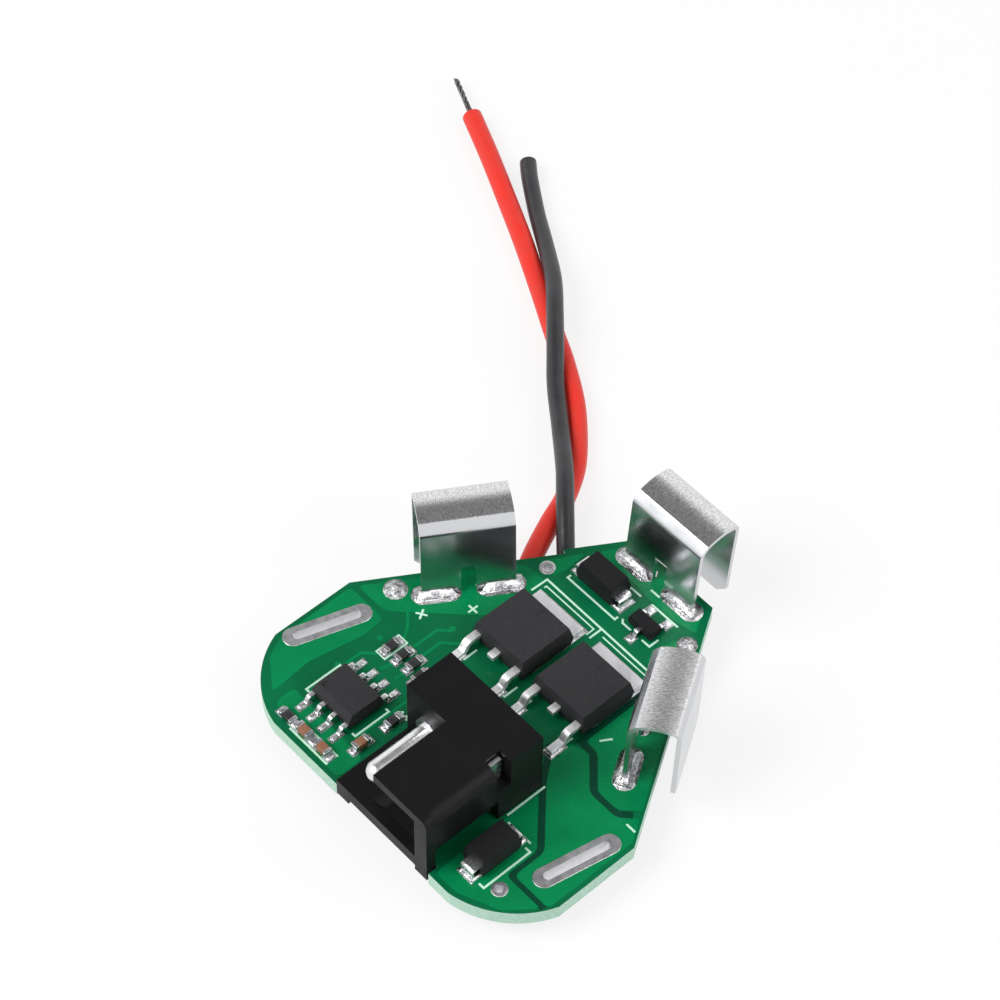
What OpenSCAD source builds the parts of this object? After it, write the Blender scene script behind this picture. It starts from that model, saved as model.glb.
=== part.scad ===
// Management board of a three-cell battery pack: a triangular circuit board with three folded
// spring clips, a half-open power jack, a charge controller and two switching transistors.
// Millimetres. X runs across the board, Y from the jack's mouth to the apex, Z up.

/* [Board] */
// Thickness of the glass-fibre board
board_t = 1.6; // [1.2:0.1:2]
// Half of the board's width
board_half = 18.35; // [18.1:0.05:18.6]
// Distance of a lower cell's axis from the middle of the board
cell_x = 9.6; // [9.5:0.05:9.8]
// Distance of a lower cell's axis from the front edge
cell_y = 9.15; // [9:0.05:9.25]
// Radius of the rounded lower corners, which follow the cells
cell_r = 9.3; // [9.3:0.05:9.5]
// Distance from the front edge to the start of the sloping sides
slope_start = 14.5; // [14:0.1:15]
// Angle of the sloping sides
slope_angle = 58; // [57:0.5:59]
// Distance from the front edge to the shoulder of a sloping side
shoulder_y = 31; // [30.5:0.1:31.5]
// Outward step at the shoulder
shoulder_step = 0.45; // [0.3:0.05:0.6]
// Distance from the front edge to the apex
apex_y = 36.7; // [36.5:0.1:37.5]
// Free height under the board, which the solder tails bridge
tail = 2.2; // [2.2:0.1:3]
// Thickness of the tinned copper on the board
land_t = 0.08; // [0.05:0.01:0.12]

/* [Strip slots] */
// Length of the pad around a cell strip's slot
slot_pad_l = 8.4; // [7.8:0.1:8.4]
// Width of that pad
slot_pad_w = 2; // [1.7:0.1:2.1]
// Length of the slot itself
slot_l = 6.4; // [5.5:0.1:6.6]
// Width of the slot
slot_w = 0.8; // [0.6:0.1:1]
// Thickness of the plating in the slot
plating = 0.1; // [0.05:0.05:0.15]
// Distance of a slot's middle from the side of the board
slot_inset = 2.25; // [2.2:0.05:2.4]
// Distance of a slot's middle from the front edge
slot_y = 10.05; // [9.9:0.05:10.2]
// Turn of the left slot from X
left_slot_turn = 72; // [71:1:76]
// Turn of the right slot from X
right_slot_turn = 79; // [76:1:84]

/* [Spring clips] */
// Thickness of the clip strip
clip_t = 0.4; // [0.3:0.05:0.5]
// Width of a clip
clip_w = 8.5; // [8:0.1:9]
// Height of the inner leg, up to its first bend
clip_rise = 7.5; // [7:0.1:8]
// Length of the outer leg
clip_leg = 9; // [8.4:0.1:9.2]
// Centreline radius of the brushed arch
arch_r = 4.7; // [4.4:0.1:5]
// Angle that the arch sweeps
arch_sweep = 38; // [36:1:42]
// Width of the notch in the inner leg
notch_w = 1.4; // [1:0.1:1.8]
// Height of that notch
notch_h = 3.2; // [2.6:0.1:3.8]
// Width of each solder tab of a clip
tab_w = 2.4; // [2:0.1:2.6]
// Chamfer at the foot of the outer leg
leg_chamfer = 1; // [0.6:0.1:1.4]
// Distance of the apex clip from the apex edge
apex_inset = 1.75; // [1.6:0.05:2]
// Room between a side clip's solder and the switching transistor beside it
clip_room = 0.2; // [0.15:0.05:0.4]
// Outward lean of the apex clip
apex_lean = 4; // [0:1:8]
// Outward lean of the left clip
left_lean = 6; // [0:1:10]
// Outward lean of the right clip
right_lean = 1; // [0:1:6]

/* [Jack] */
// Left side of the jack, from the middle of the board
jack_left = -2.85; // [-3:0.05:-2.6]
// Width of the jack
jack_w = 11.55; // [11.2:0.05:11.8]
// Length of the jack
jack_l = 12.95; // [12.6:0.05:13.2]
// Height of the jack
jack_h = 7.4; // [7.2:0.1:7.8]
// Overhang of the jack's mouth past the front edge
jack_overhang = 0.1; // [0.05:0.05:0.2]
// Length of the closed block behind the socket
jack_block_l = 5; // [4.6:0.1:5.4]
// Thickness of the jack's floor
jack_floor = 0.9; // [0.8:0.05:1]
// Thickness of the jack's roof
jack_roof = 1; // [0.8:0.1:1.2]
// Thickness of the jack's outer side wall
jack_wall = 1.5; // [1.2:0.1:1.7]
// Thickness of the flange at the jack's mouth
flange_t = 1; // [0.8:0.1:1.2]
// Distance from the jack's left side to the roof over the right half
roof_offset = 4.95; // [4.7:0.05:5.2]
// Radius of the centre pin
pin_r = 1; // [0.8:0.05:1.1]
// Distance of the centre pin from the jack's left side
pin_offset = 3.2; // [3.1:0.05:3.3]
// Height of the centre pin over the board
pin_h = 4.05; // [4:0.05:4.1]
// Free length of the centre pin in the socket
pin_l = 7.05; // [6.5:0.05:7.5]
// Radius of the socket round the pin, for the plug's sleeve
socket_r = 3.1; // [3:0.05:3.1]

/* [Circuit parts] */
// Width of a switching transistor's body
power_w = 6.5; // [6.2:0.1:6.7]
// Length of that body, without its leads and tab
power_l = 6.1; // [5.9:0.1:6.3]
// Height of that body
power_h = 2.3; // [2.1:0.1:2.4]
// Distance between the outer leads of a switching transistor
power_pitch = 5.1; // [4.6:0.1:5.2]
// Length of the controller's body, along its rows of leads
chip_w = 5; // [4.8:0.1:5.1]
// Width of the controller's body
chip_l = 3.9; // [3.7:0.1:4]
// Height of the controller's body
chip_h = 1.5; // [1.35:0.05:1.6]
// Distance between neighbouring controller leads
chip_pitch = 1.45; // [1.27:0.01:1.5]
// Length of a diode's body
diode_l = 4.4; // [4.2:0.1:4.5]
// Width of a diode's body
diode_w = 2.6; // [2.5:0.1:2.8]
// Height of a diode's body
diode_h = 2.15; // [2:0.05:2.3]
// Length of the small transistor's body
small_w = 2.9; // [2.8:0.1:3]
// Width of the small transistor's body
small_l = 1.5; // [1.3:0.1:1.6]
// Height of the small transistor's body
small_h = 1.1; // [0.9:0.1:1.2]
// Length of a chip resistor or capacitor
chip_part_l = 1.6; // [1.5:0.05:1.7]
// Width of a chip resistor or capacitor
chip_part_w = 0.85; // [0.75:0.05:0.9]
// Height of a chip resistor
resistor_h = 0.5; // [0.45:0.05:0.6]
// Height of a chip capacitor
capacitor_h = 0.8; // [0.7:0.05:0.85]
// Length of the metal end of a chip part
end_l = 0.35; // [0.25:0.05:0.45]

/* [Lead wires] */
// Diameter of the red wire's insulation
red_d = 2; // [1.8:0.1:2]
// Diameter of the black wire's insulation
black_d = 1.7; // [1.5:0.1:1.7]
// Diameter of a wire's bare core
core_d = 1.1; // [0.9:0.1:1.2]

/* [Hidden] */
$fn = 48;

// A cut runs this far past the face that it opens
past = 1;
// Room round each tail in its hole
hole_gap = 0.1;
// Seat clearance between the jack's moulding and its metal pieces
seat_gap = 0.05;
// Depth of the dimple over a part's first lead
dimple_depth = 0.1;

// ---- Board outline -------------------------------------------------------------------------
slope_dir = [-cos(slope_angle), sin(slope_angle)];
slope_normal = [sin(slope_angle), cos(slope_angle)];
slope_foot = [board_half, slope_start];
shoulder = slope_foot + slope_dir * (shoulder_y - slope_start) / sin(slope_angle);
step_out = shoulder + slope_normal * shoulder_step;
apex_corner = step_out + slope_dir * (apex_y - step_out.y) / sin(slope_angle);

// ---- Clip profile: heading angles along the strip ----------------------------------------------
clip_bend_r = 0.6;
clip_facet = 0.6;
facet_heading = 50;
arch_heading = 25;
arch_end = arch_heading - arch_sweep;
function chord(r, from, to) = 2 * r * sin((from - to) / 2) * [cos((from + to) / 2), sin((from + to) / 2)];
arch_foot = [0, clip_rise] + chord(clip_bend_r, 90, facet_heading)
    + clip_facet * [cos(facet_heading), sin(facet_heading)]
    + chord(clip_bend_r, facet_heading, arch_heading);
arch_tail = arch_foot + chord(arch_r, arch_heading, arch_end);
clip_reach = arch_tail + chord(clip_bend_r, arch_end, -90);
// Middle of the last bend, out from the inner leg and up from the board
clip_corner = clip_reach - [clip_bend_r, 0];
tab_inset = 0.15;
coining = 0.04;
tab_x = (clip_w - tab_w) / 2 - tab_inset;
top_fillet = 1.1;
tail_fillet = 0.6;

// ---- Frame: the board's front edge and top face are the datum, moved so that the part stands
// on its solder tails with its middle over the origin --------------------------------------------
apex_clip_y = apex_y - apex_inset;
back_y = apex_clip_y + clip_corner.x * cos(apex_lean) + clip_corner.y * sin(apex_lean)
    + clip_bend_r + clip_t / 2;
middle_y = (back_y - jack_overhang) / 2;
top_z = tail + board_t;

module on_board() {
    translate([0, -middle_y, top_z]) children();
}

// ---- Folded strip -------------------------------------------------------------------------------
function along_angle(angle) = [cos(angle), sin(angle)];

// Stations [point, heading] on a strip's centreline. A move is [length, 0] for a straight run, or
// [radius, angle] for a bend, to the left where the angle is positive.
function stations(moves, at, heading, i = 0) =
    i == len(moves) ? [[at, heading]] :
    let (size = moves[i][0], turn = moves[i][1])
    turn == 0
    ? concat([[at, heading]], stations(moves, at + size * along_angle(heading), heading, i + 1))
    : let (
        to_centre = sign(turn) * size,
        centre = at + to_centre * along_angle(heading + 90),
        parts = ceil(abs(turn) / 8),
        headings = [for (k = [0:parts - 1]) heading + turn * k / parts]
    ) concat(
        [for (a = headings) [centre - to_centre * along_angle(a + 90), a]],
        stations(moves, centre - to_centre * along_angle(heading + turn + 90), heading + turn, i + 1)
    );

module strip(moves, t, at = [0, 0], heading = 0) {
    line = stations(moves, at, heading);
    left = [for (p = line) p[0] + t / 2 * along_angle(p[1] + 90)];
    right = [for (p = line) p[0] - t / 2 * along_angle(p[1] + 90)];
    polygon(concat(left, [for (i = [len(right) - 1:-1:0]) right[i]]));
}

// A plane figure of (outward, up) drawn across a width that is centred on X
module across(width) {
    rotate([90, 0, 90]) translate([0, 0, -width / 2]) linear_extrude(width) children();
}

// ---- Solder ------------------------------------------------------------------------------------
// Lowest edge of a solder collar
toe = 0.05;

// Concave outline of solder against both ends of a piece of the given width
module collar_profile(width, r) {
    difference() {
        translate([-width / 2 - r, 0]) square([width + 2 * r, r]);
        for (side = [-1, 1]) translate([side * (width / 2 + r + toe), r + toe]) circle(r);
    }
}

// A concave collar of solder round a flat tab that stands on z = 0
module solder_collar(width, r) {
    intersection() {
        across(width + 2 * r) collar_profile(0, r);
        rotate(90) across(2 * r) collar_profile(width, r);
        linear_extrude(r) stadium(width + 2 * r - toe, 2 * r - toe);
    }
}

// A low dome of solder on z = 0
module solder_dome(r, h) {
    sphere_r = (r * r + h * h) / (2 * h);
    intersection() {
        translate([0, 0, h - sphere_r]) sphere(sphere_r);
        cylinder(h = 2 * h, r = 2 * r);
    }
}

// ---- Board -------------------------------------------------------------------------------------
module stadium(length, width) {
    square([length - width, width], center = true);
    for (side = [-1, 1]) translate([side * (length - width) / 2, 0]) circle(width / 2);
}

slot_x = board_half - slot_inset;

module at_strip_slots() {
    translate([-slot_x, slot_y]) rotate(left_slot_turn) children();
    translate([slot_x, slot_y]) rotate(right_slot_turn) children();
}

// Switching transistors, whose rear corners set the side clips' places
power_body = [power_w, power_l, power_h];
left_power_place = [-3.46, 21.75];
right_power_place = [4.18, 21.8];

// Place, turn and outward lean of the three clips: apex, left and right. A side clip's upper end is
// level with the rear corner of the right transistor, and its solder just clears that corner.
power_corner = right_power_place + [power_w, power_l] / 2;
side_place = power_corner + slope_normal * (top_fillet + clip_room) - slope_dir * clip_w / 2;
clips = [
    [[0, apex_clip_y], 0, apex_lean],
    [[-side_place.x, side_place.y], slope_angle, left_lean],
    [side_place, -slope_angle, right_lean],
];

// Two small round pads with a hole: one near the left shoulder and one near the right round corner
small_pad_r = 0.75;
small_hole_r = 0.35;
small_pad_rim = 0.56;
small_pad_drop = 1.84;
corner_pad_inset = 2.15;
corner_pad_angle = -53.5;
left_small_pad = shoulder - slope_dir * small_pad_drop - slope_normal * (small_pad_r + small_pad_rim);
small_pads = [
    [-left_small_pad.x, left_small_pad.y],
    [cell_x, cell_y] + (cell_r - corner_pad_inset) * [cos(corner_pad_angle), sin(corner_pad_angle)],
];

// Two round pads filled with solder: one past the left clip's lower end and one above the right shoulder
clip_pad_r = 1.15;
clip_pad_gap = 0.06;
clip_pad_out = 1.05;
rear_pad_r = 0.95;
rear_pad_rise = 1.88;
rear_pad_rim = 0.25;
clip_pad_x = clip_w / 2 - tab_inset + top_fillet + clip_pad_gap + clip_pad_r;
clip_pad = side_place - slope_dir * clip_pad_x + slope_normal * clip_pad_out;
rear_pad = step_out + slope_dir * rear_pad_rise - slope_normal * (rear_pad_r + rear_pad_rim);
filled_pads = [[-clip_pad.x, clip_pad.y, clip_pad_r], [rear_pad.x, rear_pad.y, rear_pad_r]];

module outline() {
    right = [[board_half, 0], slope_foot, shoulder, step_out, apex_corner];
    left = [for (i = [len(right) - 1:-1:0]) [-right[i].x, right[i].y]];
    difference() {
        polygon(concat(right, left));
        for (side = [0, 1]) mirror([side, 0]) difference() {
            translate([cell_x, -past]) square([board_half - cell_x + past, cell_y + past]);
            translate([cell_x, cell_y]) circle(cell_r, $fn = 96);
        }
        // Recess that the jack's mouth drops into
        translate([jack_left - hole_gap, -past])
            square([jack_w + 2 * hole_gap, past + flange_t - jack_overhang + hole_gap]);
    }
}

module at_clip(c) {
    translate(c[0]) rotate(c[1]) children();
}

module tab_holes() {
    for (side = [-1, 1])
        translate([side * tab_x, 0]) square([tab_w + 2 * hole_gap, clip_t + 2 * hole_gap], center = true);
}

module board() {
    color("seagreen") on_board() translate([0, 0, -board_t]) linear_extrude(board_t) difference() {
        outline();
        at_strip_slots() stadium(slot_l + 2 * plating, slot_w + 2 * plating);
        for (c = clips) at_clip(c) tab_holes();
        for (p = small_pads) translate(p) circle(small_hole_r + plating);
        for (tail_place = jack_tails) translate([tail_place.x, tail_place.y])
            square([jack_tail_w, jack_tail_t] + 2 * hole_gap * [1, 1], center = true);
    }
}

// Plated ring on both faces of the board, joined by the plating in the hole
module plated() {
    for (z = [0, -board_t - land_t]) translate([0, 0, z]) linear_extrude(land_t) difference() {
        children(0);
        children(1);
    }
    translate([0, 0, -board_t]) linear_extrude(board_t) difference() {
        children(2);
        children(1);
    }
}

module slot_pads() {
    color("gainsboro") on_board() at_strip_slots() plated() {
        stadium(slot_pad_l, slot_pad_w);
        stadium(slot_l, slot_w);
        stadium(slot_l + 2 * plating, slot_w + 2 * plating);
    }
}

module round_pads() {
    color("gainsboro") on_board() for (p = small_pads) translate(p) plated() {
        circle(small_pad_r);
        circle(small_hole_r);
        circle(small_hole_r + plating);
    }
}

module solder_domes() {
    dome_h = 0.5;
    color("silver") on_board() for (p = filled_pads) translate([p.x, p.y, 0]) solder_dome(p.z, dome_h);
}

// ---- Clips -------------------------------------------------------------------------------------
module clip_profile() {
    strip([
        [clip_rise + clip_t, 0],
        [clip_bend_r, facet_heading - 90],
        [clip_facet, 0],
        [clip_bend_r, arch_heading - facet_heading],
        [arch_r, -arch_sweep],
        [clip_bend_r, -90 - arch_end],
        [clip_leg, 0],
    ], clip_t, at = [0, -clip_t], heading = 90);
}

module chamfer_cut() {
    foot = clip_reach - [0, clip_leg];
    size = 4 * leg_chamfer;
    for (side = [-1, 1])
        translate([side * clip_w / 2, foot.x, foot.y]) rotate([0, -side * 45, 0])
            translate([-size / 2, -clip_t, leg_chamfer / sqrt(2) - size]) cube([size, 2 * clip_t, size]);
}

// The bent strip, leaning out from its foot on the board
module clip_strip(lean) {
    rotate([-lean, 0, 0]) difference() {
        across(clip_w) clip_profile();
        translate([0, 0, (notch_h - past) / 2]) cube([notch_w, 4 * clip_t, notch_h + past], center = true);
        chamfer_cut();
    }
}

// Two tabs, coined a little thinner than the strip, that stand in the board and carry the inner leg
module clip_tabs() {
    coined_t = clip_t - coining;
    for (side = [-1, 1])
        translate([side * tab_x - tab_w / 2, -coined_t / 2, -top_z]) cube([tab_w, coined_t, top_z]);
}

module clip(lean) {
    difference() {
        clip_strip(lean);
        translate([0, 0, -past]) cube([2 * clip_w, 4 * clip_t, 2 * past], center = true);
    }
    clip_tabs();
}

module clip_solder(lean) {
    difference() {
        for (side = [-1, 1]) translate([side * tab_x, 0, 0]) solder_collar(tab_w, top_fillet);
        rotate([-lean, 0, 0]) translate([-clip_w / 2, -clip_t / 2, -clip_t])
            cube([clip_w, clip_t, clip_t + 2 * top_fillet]);
    }
    difference() {
        for (side = [-1, 1]) translate([side * tab_x, 0, -board_t]) mirror([0, 0, 1])
            solder_collar(tab_w, tail_fillet);
        clip_tabs();
    }
}

module apex_clip() {
    color("silver") on_board() at_clip(clips[0]) clip(clips[0][2]);
}

module left_clip() {
    color("silver") on_board() at_clip(clips[1]) clip(clips[1][2]);
}

module right_clip() {
    color("silver") on_board() at_clip(clips[2]) clip(clips[2][2]);
}

module apex_clip_solder() {
    color("lightgray") on_board() at_clip(clips[0]) clip_solder(clips[0][2]);
}

module left_clip_solder() {
    color("lightgray") on_board() at_clip(clips[1]) clip_solder(clips[1][2]);
}

module right_clip_solder() {
    color("lightgray") on_board() at_clip(clips[2]) clip_solder(clips[2][2]);
}

// ---- Jack --------------------------------------------------------------------------------------
jack_right = jack_left + jack_w;
mouth_y = -jack_overhang;
block_y = mouth_y + jack_l - jack_block_l;
roof_left = jack_left + roof_offset;
pin_x = jack_left + pin_offset;
// Depth of the mouth's lip and of its two feet below the board's top face
lip_drop = 0.45;
foot_drop = 1.1;
foot_w = jack_wall;
roof_round = 1.4;
side_round = 2.2;
pocket_round = 0.7;
pocket_floor = jack_floor + 0.9;
base_inset = 1.2;
// Metal pieces: strip section, tail places and their depths in the block
jack_tail_w = 0.4;
jack_tail_t = 1.2;
pin_seat_l = 4;
pin_tail_depth = 3.2;
collar_r = 1.5;
collar_l = 0.5;
spring_room = 1.6;
spring_x = jack_right - jack_wall - spring_room;
spring_tail_depth = 1.9;
spring_seat_l = 2.5;
spring_gap = 0.4;
spring_z = [pocket_floor + spring_gap, jack_h - jack_roof - spring_gap - jack_tail_w / 4];
spring_swing = 40;
spring_arm = 3;
spring_bend_r = [0.6, 0.8];
switch_x = jack_right - 1.2;
switch_depth = 0.6;
switch_top = 0.5;
jack_tails = [
    [pin_x, block_y + pin_tail_depth],
    [spring_x, block_y + spring_tail_depth],
    [switch_x, block_y + switch_depth],
];
// Notch in the side that shows the switch contact
window = [1.5, 1.6, 3.3];

// A section in (X, Z), drawn from one Y to another
module along(from, to) {
    translate([0, to, 0]) rotate([90, 0, 0]) linear_extrude(to - from) children();
}

// What a round corner of radius r takes off at the right-hand end of a section, at its top unless down is 1
module corner_cut(corner, r, down = 0) {
    translate(corner) mirror([0, down]) difference() {
        translate([-r, -r]) square([r + past, r + past]);
        translate([-r, -r]) circle(r);
    }
}

module socket_section() {
    pocket_right = jack_right - jack_wall;
    difference() {
        union() {
            translate([jack_left, 0]) square([jack_w - base_inset, jack_floor]);
            difference() {
                translate([jack_left, jack_floor]) square([jack_w, jack_h - jack_floor]);
                corner_cut([jack_right, jack_h], roof_round);
                corner_cut([jack_right, jack_floor], side_round, down = 1);
            }
        }
        translate([pin_x, pin_h]) circle(socket_r);
        translate([jack_left - past, pin_h]) square([roof_left - jack_left + past, jack_h]);
        translate([jack_left - past, jack_floor]) square([pin_offset + past, pin_h]);
        // Side chamber for the spring, with one rounded corner
        difference() {
            translate([pin_x, pocket_floor])
                square([pocket_right - pin_x, jack_h - jack_roof - pocket_floor]);
            corner_cut([pocket_right, pocket_floor], pocket_round, down = 1);
        }
    }
}

module mouth_section() {
    difference() {
        union() {
            translate([jack_left, -lip_drop]) square([jack_w, jack_h + lip_drop]);
            for (x = [jack_left, jack_right - foot_w])
                translate([x, -foot_drop]) square([foot_w, foot_drop]);
        }
        translate([jack_left - past, jack_floor])
            square([jack_w - jack_wall + past, jack_h - jack_roof - jack_floor]);
        translate([jack_left - past, jack_floor]) square([roof_offset + past, jack_h]);
        corner_cut([jack_right, jack_h], roof_round / 2);
    }
}

module jack_block() {
    difference() {
        translate([jack_left, block_y, 0]) cube([jack_w, jack_block_l, jack_h]);
        // Seats of the centre pin, of the side spring and of their tails
        translate([pin_x, block_y - past, pin_h]) rotate([-90, 0, 0])
            cylinder(h = past + pin_seat_l + seat_gap, r = pin_r + seat_gap);
        tail_seat(jack_tails[0], pin_h);
        translate([spring_x - jack_tail_w / 2 - seat_gap, block_y - past, -past])
            cube([jack_tail_w, spring_seat_l, spring_z[1]] + seat_gap * [2, 1, 1] + past * [0, 1, 1]);
        tail_seat(jack_tails[2], jack_h);
    }
}

module tail_seat(place, top) {
    size = [jack_tail_w, jack_tail_t] + 2 * seat_gap * [1, 1];
    translate([place.x - size.x / 2, place.y - size.y / 2, -past]) cube([size.x, size.y, top + past]);
}

module jack_housing() {
    color("#2a2a2d") on_board() difference() {
        union() {
            along(mouth_y, mouth_y + flange_t) mouth_section();
            along(mouth_y + flange_t, block_y) socket_section();
            jack_block();
        }
        translate([jack_right - window.x, block_y + switch_depth - window.y / 2, jack_h - window.z])
            cube([window.x + past, window.y, window.z + past]);
    }
}

module jack_tail(place, top) {
    translate([place.x - jack_tail_w / 2, place.y - jack_tail_t / 2, -top_z])
        cube([jack_tail_w, jack_tail_t, top_z + top]);
}

module jack_centre_pin() {
    color("gainsboro") on_board() {
        translate([pin_x, block_y, pin_h]) rotate([90, 0, 0]) {
            translate([0, 0, -pin_seat_l]) cylinder(h = pin_seat_l + pin_l - pin_r, r = pin_r);
            cylinder(h = collar_l, r = collar_r);
            translate([0, 0, pin_l - pin_r]) sphere(pin_r);
        }
        jack_tail(jack_tails[0], pin_h);
    }
}

module jack_side_spring() {
    bend = [spring_bend_r[0], -spring_swing];
    crest = [spring_bend_r[1], 2 * spring_swing];
    arm = [spring_arm, 0];
    color("silver") on_board() {
        translate([0, 0, spring_z[0]]) linear_extrude(spring_z[1] - spring_z[0])
            strip([[spring_seat_l, 0], bend, arm, crest, arm, bend],
                jack_tail_w, at = [spring_x, block_y + spring_seat_l], heading = -90);
        jack_tail(jack_tails[1], spring_z[1]);
    }
}

module jack_switch_contact() {
    color("silver") on_board() jack_tail(jack_tails[2], jack_h - switch_top);
}

module jack_solder() {
    color("lightgray") on_board() for (place = jack_tails)
        translate([place.x, place.y, -board_t]) rotate(90) mirror([0, 0, 1]) difference() {
            solder_collar(jack_tail_t, tail_fillet);
            cube([jack_tail_t, jack_tail_w, 3 * tail_fillet], center = true);
        }
}

// ---- Moulded bodies and bent leads ---------------------------------------------------------------
// Section of a moulded body: a waist at the parting line and drafted sides above and below it
module draft_section(w, h, waist, draft) {
    polygon([
        [-w / 2 + draft / 2, 0], [w / 2 - draft / 2, 0], [w / 2, waist],
        [w / 2 - draft, h], [-w / 2 + draft, h], [-w / 2, waist],
    ]);
}

module moulded_body(size, waist, draft) {
    intersection() {
        across(size.x) draft_section(size.y, size.z, waist, draft);
        rotate(90) across(size.y) draft_section(size.x, size.z, waist, draft);
    }
}

// A gull-wing lead that leaves a body along +Y: out, down by drop between two bends, and a foot
// section is the lead's width and thickness, and root its length inside the body
module gull_lead(section, root, out, drop, foot, r) {
    dip = 60;
    fall = (drop - 2 * r * (1 - cos(dip))) / sin(dip);
    across(section.x)
        strip([[root + out, 0], [r, -dip], [fall, 0], [r, dip], [foot, 0]], section.y, at = [-root, 0]);
}

module land(place, size) {
    translate([place.x - size.x / 2, place.y - size.y / 2, 0]) cube([size.x, size.y, land_t]);
}

// ---- Switching transistors -----------------------------------------------------------------------
power_stand = 0.1;
power_waist = 1;
power_draft = 0.3;
power_lead = [0.76, 0.5];
power_lead_z = 1.2;
power_lead_out = 0.9;
power_lead_r = 0.6;
power_foot = 1.2;
power_tab = [5.6, 1.6, 0.5];
power_stub = 0.85;
power_root = 0.6;
power_dimple_r = 0.45;
// Copper under a tab and its rims, and under a lead's foot
tab_rim = 0.3;
tab_land_l = 6.6;
lead_land = [1.2, 2];
lead_land_out = 2.6;

module power_leads_shape() {
    edge = -power_body.y / 2;
    drop = power_lead_z - land_t - power_lead.y / 2;
    for (side = [-1, 1])
        translate([side * power_pitch / 2, edge, power_lead_z]) rotate(180)
            gull_lead(power_lead, power_root, power_lead_out, drop, power_foot, power_lead_r);
    translate([-power_lead.x / 2, edge - power_stub, power_lead_z - power_lead.y / 2])
        cube([power_lead.x, power_stub + power_root, power_lead.y]);
    translate([-power_tab.x / 2, power_body.y / 2 - power_root, land_t])
        cube([power_tab.x, power_tab.y + power_root, power_tab.z]);
}

module power_body_shape() {
    dimple = [power_body.x / 20, power_body.y / 3];
    difference() {
        translate([0, 0, power_stand]) moulded_body(power_body, power_waist, power_draft);
        power_leads_shape();
        translate([dimple.x, dimple.y, power_stand + power_body.z - dimple_depth])
            cylinder(h = past, r = power_dimple_r);
    }
}

module left_power_body() {
    color("#3a3a3c") on_board() translate(left_power_place) power_body_shape();
}

module left_power_leads() {
    color("silver") on_board() translate(left_power_place) power_leads_shape();
}

module right_power_body() {
    color("#3a3a3c") on_board() translate(right_power_place) power_body_shape();
}

module right_power_leads() {
    color("silver") on_board() translate(right_power_place) power_leads_shape();
}

module power_lands() {
    tab_end = power_body.y / 2 + power_tab.y + tab_rim;
    land([0, tab_end - tab_land_l / 2], [power_tab.x + 2 * tab_rim, tab_land_l]);
    for (side = [-1, 1])
        land([side * power_pitch / 2, -power_body.y / 2 - lead_land_out], lead_land);
}

// ---- Controller ------------------------------------------------------------------------------------
chip_body = [chip_w, chip_l, chip_h];
chip_place = [-8.8, 6.2];
chip_stand = 0.12;
chip_lead = [0.45, 0.2];
chip_lead_z = 0.8;
chip_lead_out = 0.45;
chip_lead_r = 0.25;
chip_foot = 0.6;
chip_root = 0.4;
chip_waist = 0.75;
chip_draft = 0.2;
chip_bevel = 0.55;
chip_dimple = [0.8, 1];
chip_dimple_r = 0.3;
chip_land = [0.7, 1.5];
chip_land_out = 1.2;

module at_chip_leads() {
    for (turn = [0, 180]) rotate(turn) for (i = [-1.5:1.5])
        translate([i * chip_pitch, chip_body.y / 2, 0]) children();
}

module chip_leads_shape() {
    drop = chip_lead_z - land_t - chip_lead.y / 2;
    at_chip_leads() translate([0, 0, chip_lead_z])
        gull_lead(chip_lead, chip_root, chip_lead_out, drop, chip_foot, chip_lead_r);
}

module controller_body() {
    top = chip_stand + chip_body.z;
    color("#444447") on_board() translate(chip_place) difference() {
        translate([0, 0, chip_stand]) moulded_body(chip_body, chip_waist, chip_draft);
        chip_leads_shape();
        // Long bevel on the first lead's side, and the dimple over that lead
        translate([0, -chip_body.y / 2, top]) rotate([45, 0, 0])
            cube([2 * chip_body.x, sqrt(2) * chip_bevel, sqrt(2) * chip_bevel], center = true);
        translate([chip_dimple.x - chip_body.x / 2, chip_dimple.y - chip_body.y / 2, top - dimple_depth])
            cylinder(h = past, r = chip_dimple_r);
    }
}

module controller_leads() {
    color("silver") on_board() translate(chip_place) chip_leads_shape();
}

module chip_lands() {
    at_chip_leads() land([0, chip_land_out], chip_land);
}

// ---- Diodes ------------------------------------------------------------------------------------------
diode_body = [diode_l, diode_w, diode_h];
// Room between the front diode and the jack
front_diode_room = 1;
rear_diode_place = [-3.1, 31.05];
front_diode_place = [jack_right + front_diode_room + diode_w / 2, 5.15];
diode_stand = 0.32;
diode_waist = 0.85;
diode_draft = 0.25;
diode_lead = [1.5, 0.2];
diode_lead_z = 1.1;
diode_lead_r = 0.25;
diode_out = 0.35;
diode_foot = 1.1;
diode_land = [2, 1.9];

// Two flat leads that fold down the ends and under the body, whose length runs along X
module diode_leads_shape() {
    fold = [diode_lead_r, -90];
    down = diode_lead_z - land_t - diode_lead.y / 2 - 2 * diode_lead_r;
    for (turn = [-90, 90]) rotate(turn) translate([0, diode_body.x / 2, diode_lead_z])
        across(diode_lead.x)
            strip([[2 * diode_out, 0], fold, [down, 0], fold, [diode_foot, 0]],
                diode_lead.y, at = [-diode_out, 0]);
}

module diode_body_shape() {
    difference() {
        translate([0, 0, diode_stand]) moulded_body(diode_body, diode_waist, diode_draft);
        diode_leads_shape();
    }
}

module diode_lands() {
    for (side = [-1, 1]) land([side * diode_body.x / 2, 0], diode_land);
}

module rear_diode_body() {
    color("#38383a") on_board() translate(rear_diode_place) diode_body_shape();
}

module rear_diode_leads() {
    color("silver") on_board() translate(rear_diode_place) diode_leads_shape();
}

module front_diode_body() {
    color("#38383a") on_board() translate(front_diode_place) rotate(90) diode_body_shape();
}

module front_diode_leads() {
    color("silver") on_board() translate(front_diode_place) rotate(90) diode_leads_shape();
}

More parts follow.
